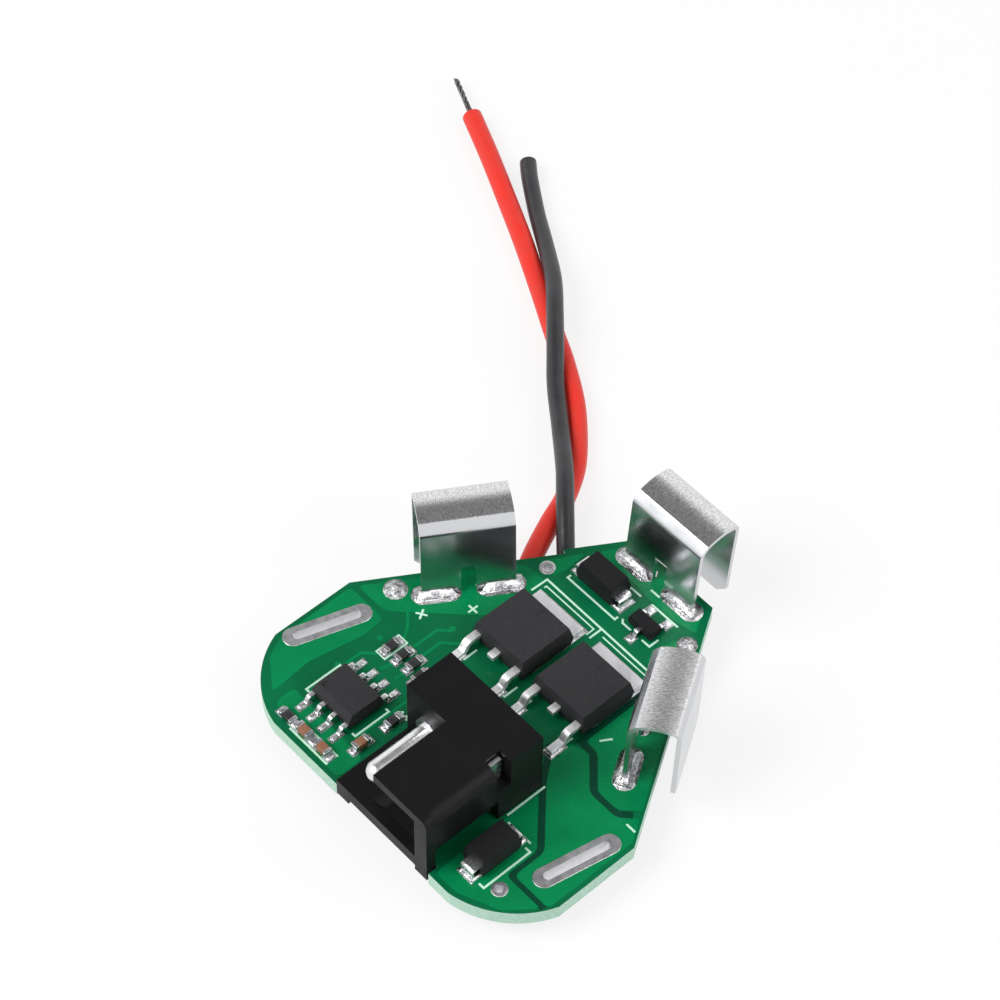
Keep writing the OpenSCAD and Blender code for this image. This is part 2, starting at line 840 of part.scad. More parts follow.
// ---- Small transistor ----------------------------------------------------------------------------------
small_body = [small_w, small_l, small_h];
small_place = [2.65, 30.65];
small_pitch = 2.1;
small_lead = [0.45, 0.15];
small_lead_z = 0.6;
small_lead_out = 0.2;
small_lead_r = 0.15;
small_foot = 0.4;
small_root = 0.3;
small_stand = 0.12;
small_waist = 0.5;
small_draft = 0.15;
small_land = [0.9, 1];
small_land_out = 0.9;

module at_small_leads() {
    for (side = [-1, 1]) translate([side * small_pitch / 2, small_body.y / 2, 0]) children();
    rotate(180) translate([0, small_body.y / 2, 0]) children();
}

module small_leads_shape() {
    drop = small_lead_z - land_t - small_lead.y / 2;
    at_small_leads() translate([0, 0, small_lead_z])
        gull_lead(small_lead, small_root, small_lead_out, drop, small_foot, small_lead_r);
}

module small_transistor_body() {
    color("#3a3a3c") on_board() translate(small_place) difference() {
        translate([0, 0, small_stand]) moulded_body(small_body, small_waist, small_draft);
        small_leads_shape();
    }
}

module small_transistor_leads() {
    color("silver") on_board() translate(small_place) small_leads_shape();
}

module small_lands() {
    at_small_leads() land([0, small_land_out], small_land);
}

// ---- Chip resistors and capacitors: place of the middle and turn from X -----------------------------------
resistor = [chip_part_l, chip_part_w, resistor_h];
capacitor = [chip_part_l, chip_part_w, capacitor_h];
resistor_places = [
    [-10.55, 12.7, 90], [-9.15, 12.8, 90], [-7.8, 12.9, 90], [-6.45, 12.4, 90],
    [-10.85, 1.25, 0], [-4.5, 7.6, 90],
];
capacitor_places = [[-8.65, 1.25, 0], [-6.25, 1.25, 0], [-4.5, 4, 90]];

module at_places(places) {
    for (p = places) translate([p.x, p.y, 0]) rotate(p.z) children();
}

module chip_middle(size) {
    recess = 0.04;
    translate([0, 0, land_t + size.z / 2]) cube(size - [2 * end_l, recess, recess], center = true);
}

module chip_ends(size) {
    for (side = [-1, 1])
        translate([side * (size.x - end_l) / 2, 0, land_t + size.z / 2])
            cube([end_l, size.y, size.z], center = true);
}

module resistor_bodies() {
    color("#232326") on_board() at_places(resistor_places) chip_middle(resistor);
}

module resistor_ends() {
    color("silver") on_board() at_places(resistor_places) chip_ends(resistor);
}

module capacitor_bodies() {
    color("#8a5a44") on_board() at_places(capacitor_places) chip_middle(capacitor);
}

module capacitor_ends() {
    color("silver") on_board() at_places(capacitor_places) chip_ends(capacitor);
}

module chip_part_lands(size) {
    land_l = 0.9;
    rim = 0.05;
    for (side = [-1, 1]) land([side * size.x / 2, 0], [land_l, size.y + 2 * rim]);
}

module lands() {
    color("gainsboro") on_board() {
        translate(left_power_place) power_lands();
        translate(right_power_place) power_lands();
        translate(chip_place) chip_lands();
        translate(rear_diode_place) diode_lands();
        translate(front_diode_place) rotate(90) diode_lands();
        translate(small_place) small_lands();
        at_places(resistor_places) chip_part_lands(resistor);
        at_places(capacitor_places) chip_part_lands(capacitor);
    }
}

// ---- Lead wires: routes in the part's own frame, from the free end to the joint under the board ----
red_route = [
    [-56.2, 42.9, 1], [-51.1, 40.6, 1], [-45.7, 38, 1], [-40.2, 35.3, 1], [-34.3, 32.2, 1],
    [-29.9, 29.8, 1], [-25.7, 27.6, 1], [-21.2, 24.7, 1], [-16.6, 20.5, 1], [-14.2, 16.9, 1],
    [-13, 14, 1], [-11.5, 10.7, 1], [-10.2, 8.3, 1],
];
black_route = [
    [-47.8, 42.9, 0.88], [-46, 41.5, 0.88], [-42, 38.8, 0.92], [-38.1, 36.3, 1.6], [-33.6, 33.2, 2.6],
    [-29.9, 30, 3], [-26.8, 27.2, 2.8], [-23.9, 24.6, 2.2], [-20, 21.6, 2.1], [-15.9, 18.3, 2.9],
    [-14.2, 16.8, 3.05], [-12, 14.8, 2.6], [-9.5, 12.6, 1.5], [-7.9, 11.2, 1.15], [-6.9, 10.3, 1.1],
];
steps = 3;
// Bare core at the joint and at the red wire's free end
core_l = 1.3;
tip_l = 5.6;

function unit(v) = v / norm(v);

// Point at t between p[i] and p[i + 1] on the smooth curve through all the points
function curve_point(p, i, t) =
    let (n = len(p) - 1, a = p[max(i - 1, 0)], b = p[i], c = p[i + 1], d = p[min(i + 2, n)])
    (2 * b + (c - a) * t + (2 * a - 5 * b + 4 * c - d) * pow(t, 2) + (3 * b - a - 3 * c + d) * pow(t, 3)) / 2;

function curve(p) = concat(
    [for (i = [0:len(p) - 2]) for (k = [0:steps - 1]) curve_point(p, i, k / steps)], [p[len(p) - 1]]);

function heading(path, i) = unit(path[min(i + 1, len(path) - 1)] - path[max(i - 1, 0)]);

function ring(centre, ahead, r, sides) =
    let (across = unit(cross(ahead, [0, 0, 1])), up = cross(across, ahead))
    [for (k = [0:sides - 1]) centre + r * (cos(360 * k / sides) * across + sin(360 * k / sides) * up)];

module tube(route, d) {
    sides = 8;
    path = curve(route);
    n = len(path);
    points = [for (i = [0:n - 1]) each ring(path[i], heading(path, i), d / 2, sides)];
    walls = [for (i = [0:n - 2]) for (k = [0:sides - 1]) let (next = (k + 1) % sides)
        [i * sides + k, i * sides + next, (i + 1) * sides + next, (i + 1) * sides + k]];
    first = [for (k = [sides - 1:-1:0]) k];
    last = [for (k = [0:sides - 1]) (n - 1) * sides + k];
    polyhedron(points, concat([first, last], walls));
}

// A bare core that leaves the wire's end in the direction given
module bare_core(end, ahead, length) {
    translate(end) rotate([0, acos(ahead.z), atan2(ahead.y, ahead.x)]) cylinder(h = length, d = core_d);
}

module joint_core(route) {
    path = curve(route);
    last = len(path) - 1;
    bare_core(path[last], heading(path, last), core_l);
}

// A cone of solder under the board, round the core's end
module wire_joint(route) {
    joint_h = 1.8;
    wide_r = 1.2;
    narrow_r = 0.85;
    path = curve(route);
    last = len(path) - 1;
    joint = path[last] + core_l * heading(path, last);
    difference() {
        translate([joint.x, joint.y, tail]) mirror([0, 0, 1])
            cylinder(h = joint_h, r1 = wide_r, r2 = narrow_r);
        joint_core(route);
    }
}

module red_wire() {
    color("#e8453a") tube(red_route, red_d);
}

module red_wire_tip() {
    path = curve(red_route);
    color("silver") bare_core(path[0], -heading(path, 0), tip_l);
}

module black_wire() {
    color("#2c2c2e") tube(black_route, black_d);
}

module wire_cores() {
    color("silver") {
        joint_core(red_route);
        joint_core(black_route);
    }
}

module wire_solder() {
    color("lightgray") {
        wire_joint(red_route);
        wire_joint(black_route);
    }
}

board();
slot_pads();
round_pads();
lands();
solder_domes();
apex_clip();
left_clip();
right_clip();
apex_clip_solder();
left_clip_solder();
right_clip_solder();
jack_housing();
jack_centre_pin();
jack_side_spring();
jack_switch_contact();
jack_solder();
left_power_body();
left_power_leads();
right_power_body();
right_power_leads();
controller_body();
controller_leads();
rear_diode_body();
rear_diode_leads();
front_diode_body();
front_diode_leads();
small_transistor_body();
small_transistor_leads();
resistor_bodies();
resistor_ends();
capacitor_bodies();
capacitor_ends();
red_wire();
red_wire_tip();
black_wire();
wire_cores();
wire_solder();
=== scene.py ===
"""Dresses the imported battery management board: finishes, rounded edges, print, solder and lead wires.

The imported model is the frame. Every new piece is in metres in that frame and rides on its one body.
"""

from __future__ import annotations

import logging
import math
from dataclasses import dataclass
from enum import Enum

import bmesh
import bpy
from mathutils import Matrix, Vector


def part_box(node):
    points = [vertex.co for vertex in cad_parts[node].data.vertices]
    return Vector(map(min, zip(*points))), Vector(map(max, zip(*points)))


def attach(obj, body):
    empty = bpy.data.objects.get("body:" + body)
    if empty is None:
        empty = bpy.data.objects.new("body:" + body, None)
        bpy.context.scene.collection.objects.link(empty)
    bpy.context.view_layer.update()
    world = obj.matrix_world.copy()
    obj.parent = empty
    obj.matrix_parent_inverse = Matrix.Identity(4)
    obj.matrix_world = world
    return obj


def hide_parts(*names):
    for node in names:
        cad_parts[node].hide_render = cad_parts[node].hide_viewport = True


LOG = logging.getLogger("management_board")
MM = 0.001
BODY = "root"
# Packed corners closer than this are one, and faces that turn less than this are one flat face
MERGE = 0.002 * MM
FLAT = math.radians(0.5)

Colour = tuple[float, float, float, float]
Point = tuple[float, float]
Place = tuple[float, float, float]
Nodes = dict[str, bpy.types.Object]


class Slot(Enum):
    """The record's material slots."""

    MASK = "solder_mask"
    PAD = "tinned_pad"
    SOLDER = "solder"
    CLIP = "clip_metal"
    JACK = "jack_black"
    CONTACT = "contact_metal"
    CHIP = "chip_black"
    LEAD = "lead_tin"
    RESISTOR = "resistor_black"
    CAPACITOR = "capacitor_brown"
    END = "end_tin"
    RED = "wire_red"
    BLACK = "wire_black"
    CORE = "wire_core"


class FarEnd(Enum):
    """What a lead wire's free end is."""

    BARE = "bare"


def paint(red: int, green: int, blue: int) -> Colour:
    """Gives the linear colour of a paint that is named in display values from 0 to 255.

    Args:
        red: Display red.
        green: Display green.
        blue: Display blue.

    Returns:
        The linear colour with full alpha.
    """
    linear = []
    for display in (red, green, blue):
        share = display / 255
        linear.append(share / 12.92 if share <= 0.04045 else ((share + 0.055) / 1.055) ** 2.4)
    return (*linear, 1.0)


# ---- Shader maths -------------------------------------------------------------------------------


class Value:
    """A shader socket that takes part in Python arithmetic."""

    def __init__(self, tree: bpy.types.NodeTree, socket: bpy.types.NodeSocket) -> None:
        """Keeps the socket and the tree that it is in."""
        self.tree = tree
        self.socket = socket

    def _math(self, operation: str, other: Value | float, flipped: bool = False) -> Value:
        """Adds a Math node.

        Args:
            operation: The Math node's operation.
            other: The second term.
            flipped: Whether the other term comes first.

        Returns:
            The node's result.
        """
        node = self.tree.nodes.new("ShaderNodeMath")
        node.operation = operation
        terms = (other, self) if flipped else (self, other)
        for index, term in enumerate(terms):
            if isinstance(term, Value):
                self.tree.links.new(term.socket, node.inputs[index])
            else:
                node.inputs[index].default_value = term
        return Value(self.tree, node.outputs[0])

    def __add__(self, other: Value | float) -> Value:
        """Adds."""
        return self._math("ADD", other)

    def __radd__(self, other: float) -> Value:
        """Adds with the number first."""
        return self._math("ADD", other, flipped=True)

    def __sub__(self, other: Value | float) -> Value:
        """Subtracts."""
        return self._math("SUBTRACT", other)

    def __rsub__(self, other: float) -> Value:
        """Subtracts from a number."""
        return self._math("SUBTRACT", other, flipped=True)

    def __mul__(self, other: Value | float) -> Value:
        """Multiplies."""
        return self._math("MULTIPLY", other)

    def __rmul__(self, other: float) -> Value:
        """Multiplies with the number first."""
        return self._math("MULTIPLY", other, flipped=True)

    def __gt__(self, other: Value | float) -> Value:
        """Gives 1 where this value is the greater."""
        return self._math("GREATER_THAN", other)

    def __lt__(self, other: Value | float) -> Value:
        """Gives 1 where this value is the smaller."""
        return self._math("LESS_THAN", other)


class Shader:
    """A material or a world in the making: its node tree and the one method that adds nodes."""

    def __init__(self, owner: bpy.types.Material | bpy.types.World) -> None:
        """Empties the owner's node tree.

        Args:
            owner: The material or world that the nodes belong to.
        """
        owner.use_nodes = True
        self.owner = owner
        self.tree = owner.node_tree
        self.tree.nodes.clear()

    @classmethod
    def named(cls, name: str) -> Shader:
        """Starts an empty material of that name."""
        return cls(bpy.data.materials.new(name))

    def node(
        self, kind: str, settings: dict | None = None, inputs: dict | None = None, out: int | str = 0
    ) -> Value | None:
        """Adds a node.

        Args:
            kind: The node's type.
            settings: Its properties, set first.
            inputs: Values or links of its sockets, by name or number.
            out: Which output is the result, by name or number.

        Returns:
            The node's output, or None for a node that has none.
        """
        node = self.tree.nodes.new(kind)
        for key, setting in (settings or {}).items():
            setattr(node, key, setting)
        for key, term in (inputs or {}).items():
            if isinstance(term, Value):
                self.tree.links.new(term.socket, node.inputs[key])
            else:
                node.inputs[key].default_value = term
        return Value(self.tree, node.outputs[out]) if node.outputs else None

    def place(self, turn: float = 0.0, stretch: Place = (1.0, 1.0, 1.0)) -> Value:
        """Gives Object coordinates, turned about Z and stretched.

        Args:
            turn: Angle about Z in degrees, taken off before the stretch.
            stretch: Factor along each axis.

        Returns:
            The coordinates.
        """
        here = self.node("ShaderNodeTexCoord", out="Object")
        sockets = {"Vector": here, "Rotation": (0.0, 0.0, math.radians(-turn))}
        turned = self.node("ShaderNodeMapping", {"vector_type": "POINT"}, sockets)
        return self.node("ShaderNodeVectorMath", {"operation": "MULTIPLY"}, {0: turned, 1: stretch})

    def rise(self) -> Value:
        """Gives the upward part of the surface's direction: 1 on level faces, 0 on upright ones."""
        return self.upright_part(self.node("ShaderNodeNewGeometry", out="Normal"))

    def upright_part(self, vector: Value) -> Value:
        """Gives the Z part of a vector."""
        return self.node("ShaderNodeSeparateXYZ", {}, {"Vector": vector}, out="Z")

    def noise(self, where: Value, grain: float, detail: float = 2.0, rough: float = 0.5) -> Value:
        """Gives noise whose features are about one grain across.

        Args:
            where: Coordinates in metres.
            grain: Feature size in millimetres.
            detail: Octaves.
            rough: Weight of the finer octaves.

        Returns:
            A value around 0.5.
        """
        sockets = {"Vector": where, "Scale": 1 / (grain * MM), "Detail": detail, "Roughness": rough}
        return self.node("ShaderNodeTexNoise", {}, sockets)

    def spread(self, factor: Value, low: float, high: float, start: float = 0.3, end: float = 0.7) -> Value:
        """Spreads a value over another range.

        Args:
            factor: The value.
            low: The result where the value is start or less.
            high: The result where the value is end or more.
            start: Where the result leaves low.
            end: Where the result reaches high.

        Returns:
            The spread value.
        """
        sockets = {"Value": factor, "From Min": start, "From Max": end, "To Min": low, "To Max": high}
        return self.node("ShaderNodeMapRange", {"clamp": True}, sockets)

    def mix(self, factor: Value, first: Value | Colour, second: Value | Colour) -> Value:
        """Mixes two colours. The Mix node's colour sockets share their names with others and go by number."""
        return self.node("ShaderNodeMix", {"data_type": "RGBA"}, {0: factor, 6: first, 7: second}, out=2)

    def bump(self, height: Value, depth: float) -> Value:
        """Gives a normal from a height.

        Args:
            height: Height from 0 to 1.
            depth: Depth of the relief in millimetres.

        Returns:
            The bumped normal.
        """
        return self.node("ShaderNodeBump", {}, {"Height": height, "Distance": depth * MM, "Strength": 1.0})

    def light_path(self, kind: str) -> Value:
        """Gives 1 for rays of one kind, such as "Is Camera Ray"."""
        return self.node("ShaderNodeLightPath", out=kind)

    def close(self, **sockets: Value | float | Colour) -> bpy.types.Material:
        """Ends the material with its Principled shader.

        Args:
            **sockets: The shader's sockets, with underscores for spaces.

        Returns:
            The finished material.
        """
        inputs = {key.replace("_", " "): term for key, term in sockets.items()}
        surface = self.node("ShaderNodeBsdfPrincipled", {}, inputs)
        self.node("ShaderNodeOutputMaterial", {}, {"Surface": surface})
        return self.owner


# ---- Finishes -----------------------------------------------------------------------------------


@dataclass(frozen=True)
class LaminateFinish:
    """Green solder mask over glass fibre, with pale cut edges. Both levels are in metres."""

    top: float
    underside: float
    skin: float = 0.004
    deep: Colour = paint(0, 94, 56)
    light: Colour = paint(0, 108, 66)
    cut_edge: Colour = paint(198, 226, 210)
    glass: Colour = paint(150, 190, 168)

    def material(self) -> bpy.types.Material:
        """Makes the material: the mask lies on both faces, and the cut edge shows its glass layers."""
        shader = Shader.named("laminate")
        where = shader.place()
        height = shader.upright_part(where)
        faces = (height > self.top - self.skin * MM) + (height < self.underside + self.skin * MM)
        cloud = shader.spread(shader.noise(where, 6.0), 0.0, 1.0)
        weave = shader.noise(shader.place(stretch=(1.0, 1.0, 8.0)), 0.35, detail=3.0)
        green = shader.mix(cloud, self.deep, self.light)
        layers = shader.mix(shader.spread(weave, 0.0, 1.0), self.cut_edge, self.glass)
        grain = shader.noise(where, 0.12, detail=3.0)
        return shader.close(
            Base_Color=shader.mix(faces, layers, green),
            Roughness=shader.spread(grain, 0.26, 0.38) + 0.3 * (1 - faces),
            Normal=shader.bump(grain, 0.006),
            Specular_IOR_Level=0.16,
        )


@dataclass(frozen=True)
class MaskedCopperFinish:
    """Solder mask where it lies over copper, a little lighter and smoother."""

    name: str
    base: Colour
    lifted: Colour

    def material(self) -> bpy.types.Material:
        """Makes the material."""
        shader = Shader.named(self.name)
        where = shader.place()
        cloud = shader.spread(shader.noise(where, 4.0), 0.0, 1.0)
        grain = shader.noise(where, 0.15, detail=3.0)
        return shader.close(
            Base_Color=shader.mix(cloud, self.base, self.lifted),
            Roughness=shader.spread(grain, 0.2, 0.32),
            Normal=shader.bump(grain, 0.004),
            Specular_IOR_Level=0.16,
        )


@dataclass(frozen=True)
class PrintFinish:
    """White epoxy print that lets a little green through."""

    base: Colour = paint(196, 236, 214)
    worn: Colour = paint(104, 184, 144)

    def material(self) -> bpy.types.Material:
        """Makes the material."""
        shader = Shader.named("board_print")
        grain = shader.noise(shader.place(), 0.18, detail=3.0)
        thin = shader.spread(grain, 0.0, 0.5, start=0.55, end=0.8)
        return shader.close(
            Base_Color=shader.mix(thin, self.base, self.worn),
            Roughness=0.6,
            Normal=shader.bump(grain, 0.01),
            Specular_IOR_Level=0.2,
        )


@dataclass(frozen=True)
class MetalFinish:
    """Tin, nickel or solder: cloudy, with fine soft scratches. Grain, relief and patches in millimetres."""

    name: str
    base: Colour
    tarnish: Colour
    smooth: float = 0.18
    rough: float = 0.34
    grain: float = 0.12
    relief: float = 0.004
    patchy: float = 2.5
    wall_highlight: Colour | None = None

    def material(self) -> bpy.types.Material:
        """Makes the material. A wall highlight colour, if given, takes the place of both colours on upright
        faces, as a painted highlight that makes walls lighter than the flats.
        """
        shader = Shader.named(self.name)
        where = shader.place()
        patches = shader.noise(where, self.patchy, detail=4.0, rough=0.6)
        cloud = shader.spread(patches, 0.0, 1.0, start=0.35, end=0.7)
        scratch = shader.noise(where, self.grain, detail=4.0, rough=0.65)
        colour = shader.mix(cloud, self.base, self.tarnish)
        if self.wall_highlight is not None:
            # Painted highlight: upright faces take the lighter wall colour in place of the metal's own
            # colours
            level = shader.spread(shader.rise(), 0.0, 1.0, start=0.2, end=0.6)
            colour = shader.mix(level, self.wall_highlight, colour)
        return shader.close(
            Base_Color=colour,
            Metallic=1.0,
            Roughness=shader.spread(scratch, self.smooth, self.rough) + cloud * 0.05,
            Normal=shader.bump(scratch, self.relief),
        )


@dataclass(frozen=True)
class ClipFinish:
    """Nickelled spring strip: smooth legs and folds, and an arch with short brush marks across it, whose
    lighter base is a painted highlight where the strip faces up.

    The pitch of the marks is in millimetres, the turn of the clip in degrees.
    """

    name: str
    turn: float
    smooth: Colour = paint(208, 209, 212)
    # Base of the arch: the brush finish painted near white as a painted highlight, lighter than the legs
    brushed_highlight: Colour = paint(252, 252, 253)
    mark: Colour = paint(186, 186, 188)
    pitch: float = 0.05
    streak: float = 7.0
    flat_from: float = 0.8
    flat_to: float = 0.9

    def material(self) -> bpy.types.Material:
        """Makes the material: the arch is where the strip faces up, and there the brush marks sit on a
        lighter base, a painted highlight.
        """
        shader = Shader.named(self.name)
        arch = shader.spread(shader.rise(), 0.0, 1.0, start=self.flat_from, end=self.flat_to)
        along = shader.place(self.turn, (1.0, 1 / self.streak, 1 / self.streak))
        marks = shader.noise(along, self.pitch, detail=3.0, rough=0.7)
        cloud = shader.noise(shader.place(self.turn), 1.6, detail=2.0)
        strong = shader.spread(marks, 0.0, 1.0, start=0.35, end=0.65)
        brushed_highlight = shader.mix(strong, self.brushed_highlight, self.mark)
        return shader.close(
            # Painted highlight: faces that point up take the lighter arch base in place of the legs' colour
            Base_Color=shader.mix(arch, self.smooth, brushed_highlight),
            Metallic=1.0,
            Roughness=shader.spread(cloud, 0.11, 0.17) + 0.08 * (1 - arch),
            Normal=shader.bump(marks * arch, 0.015),
        )


@dataclass(frozen=True)
class MouldedFinish:
    """Moulded plastic or epoxy with a fine spark-eroded grain and a little dust."""

    name: str
    base: Colour
    dust: Colour
    smooth: float
    rough: float
    gloss: float = 0.2
    grain: float = 0.08
    relief: float = 0.008

    def material(self) -> bpy.types.Material:
        """Makes the material."""
        shader = Shader.named(self.name)
        where = shader.place()
        specks = shader.noise(where, 0.25, detail=4.0, rough=0.7)
        speck = shader.spread(specks, 0.0, 1.0, start=0.5, end=0.75)
        fine = shader.noise(where, self.grain, detail=3.0)
        cloud = shader.noise(where, 3.0)
        return shader.close(
            Base_Color=shader.mix(speck, self.base, self.dust),
            Roughness=shader.spread(cloud, self.smooth, self.rough) + 0.08 * fine,
            Normal=shader.bump(fine, self.relief),
            Specular_IOR_Level=self.gloss,
        )


@dataclass(frozen=True)
class VinylFinish:
    """Soft vinyl insulation: satin, with a faint grain."""

    name: str
    base: Colour
    shade: Colour
    smooth: float = 0.34
    gloss: float = 0.3
    unevenness: float = 0.14

    def material(self) -> bpy.types.Material:
        """Makes the material."""
        shader = Shader.named(self.name)
        where = shader.place()
        cloud = shader.spread(shader.noise(where, 3.0, detail=3.0), 0.0, 1.0)
        fine = shader.noise(where, 0.3, detail=3.0)
        return shader.close(
            Base_Color=shader.mix(cloud, self.base, self.shade),
            Roughness=shader.spread(fine, self.smooth, self.smooth + self.unevenness),
            Normal=shader.bump(fine, 0.012),
            Specular_IOR_Level=self.gloss,
        )


@dataclass(frozen=True)
class CeramicFinish:
    """Fired ceramic or glaze of a chip part."""

    name: str
    base: Colour
    fleck: Colour
    rough: float

    def material(self) -> bpy.types.Material:
        """Makes the material."""
        shader = Shader.named(self.name)
        grain = shader.noise(shader.place(), 0.1, detail=3.0)
        mottle = shader.spread(grain, 0.0, 1.0)
        return shader.close(
            Base_Color=shader.mix(mottle, self.base, self.fleck),
            Roughness=self.rough,
            Normal=shader.bump(grain, 0.006),
        )


# ---- Making pieces ------------------------------------------------------------------------------


def link(thing: bpy.types.Object) -> None:
    """Puts an object in the scene."""
    bpy.context.scene.collection.objects.link(thing)


def dress(node: bpy.types.Object, material: bpy.types.Material) -> None:
    """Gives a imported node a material.

    Args:
        node: The node's object.
        material: Its new material.
    """
    node.data.materials.clear()
    node.data.materials.append(material)
    LOG.info("dressed %s in %s", node.name, material.name)


def make_piece(
    shape: bmesh.types.BMesh,
    name: str,
    material: bpy.types.Material,
    slot: Slot,
    *stands_for: str,
    crease: float,
) -> bpy.types.Object:
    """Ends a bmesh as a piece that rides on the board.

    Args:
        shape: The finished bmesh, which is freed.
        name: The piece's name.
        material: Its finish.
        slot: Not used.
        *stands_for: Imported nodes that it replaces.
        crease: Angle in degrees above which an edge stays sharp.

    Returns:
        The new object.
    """
    mesh = bpy.data.meshes.new(name)
    shape.to_mesh(mesh)
    shape.free()
    mesh.shade_smooth()
    mesh.set_sharp_from_angle(angle=math.radians(crease))
    mesh.materials.append(material)
    piece = bpy.data.objects.new(name, mesh)
    link(piece)
    flats = piece.modifiers.new("flats", "WEIGHTED_NORMAL")
    flats.keep_sharp = True
    flats.weight = 100
    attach(piece, BODY)
    if stands_for:
        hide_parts(*stands_for)
    LOG.info("made %s with %d faces", name, len(mesh.polygons))
    return piece


def merged_copy(node: bpy.types.Object) -> bmesh.types.BMesh:
    """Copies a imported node's triangles and merges them into clean faces.

    Args:
        node: The node's object.

    Returns:
        A new bmesh.
    """
    shape = bmesh.new()
    shape.from_mesh(node.data)
    bmesh.ops.remove_doubles(shape, verts=shape.verts, dist=MERGE)
    bmesh.ops.dissolve_limit(
        shape, angle_limit=FLAT, use_dissolve_boundaries=False, verts=shape.verts, edges=shape.edges
    )
    return shape


def slice_through(shape: bmesh.types.BMesh, place: Vector, facing: Vector, **cleared: bool) -> dict:
    """Slices a whole bmesh by a plane.

    Args:
        shape: The bmesh.
        place: A point of the plane, in metres.
        facing: The direction that the plane faces.
        **cleared: The side that goes, as clear_outer or clear_inner.

    Returns:
        What the operator made.
    """
    whole = [*shape.verts, *shape.edges, *shape.faces]
    return bmesh.ops.bisect_plane(shape, geom=whole, plane_co=place, plane_no=facing, **cleared)


def round_edges(shape: bmesh.types.BMesh, radius: float, segments: int, above: float) -> None:
    """Rounds a bmesh's sharp edges.

    Args:
        shape: The bmesh.
        radius: Width of the rounding in millimetres.
        segments: Steps in the rounding.
        above: Angle in degrees above which an edge counts as sharp.
    """
    limit = math.radians(above)
    sharp = [edge for edge in shape.edges if edge.is_manifold and edge.calc_face_angle() > limit]
    bmesh.ops.bevel(
        shape,
        geom=sharp,
        offset=radius * MM,
        offset_type="OFFSET",
        segments=segments,
        profile=0.5,
        affect="EDGES",
        clamp_overlap=True,
        material=-1,
    )


def islands(node: bpy.types.Object) -> list[tuple[Vector, Vector]]:
    """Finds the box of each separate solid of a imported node.

    Args:
        node: The node's object.

    Returns:
        The lowest and highest corner of each solid.
    """
    shape = merged_copy(node)
    left = set(shape.verts)
    boxes = []
    while left:
        waiting = [left.pop()]
        found = []
        while waiting:
            vert = waiting.pop()
            found.append(vert.co.copy())
            for edge in vert.link_edges:
                other = edge.other_vert(vert)
                if other in left:
                    left.discard(other)
                    waiting.append(other)
        boxes.append((Vector(map(min, zip(*found))), Vector(map(max, zip(*found)))))
    shape.free()
    return sorted(boxes, key=lambda box: (round(box[0].x, 5), round(box[0].y, 5)))


@dataclass
class RoundedPart:
    """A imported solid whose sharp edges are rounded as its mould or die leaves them.

    The rounding's width is in millimetres, and edges above an angle in degrees count as sharp.
    """

    nodes: Nodes
    node: str
    edge: float
    slot: Slot
    steps: int = 2
    above: float = 28.0

    def build(self, material: bpy.types.Material) -> None:
        """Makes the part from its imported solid.

        Args:
            material: Its finish.
        """
        shape = merged_copy(self.nodes[self.node])
        round_edges(shape, self.edge, self.steps, self.above)
        make_piece(shape, f"{self.node}_moulded", material, self.slot, self.node, crease=32.0)


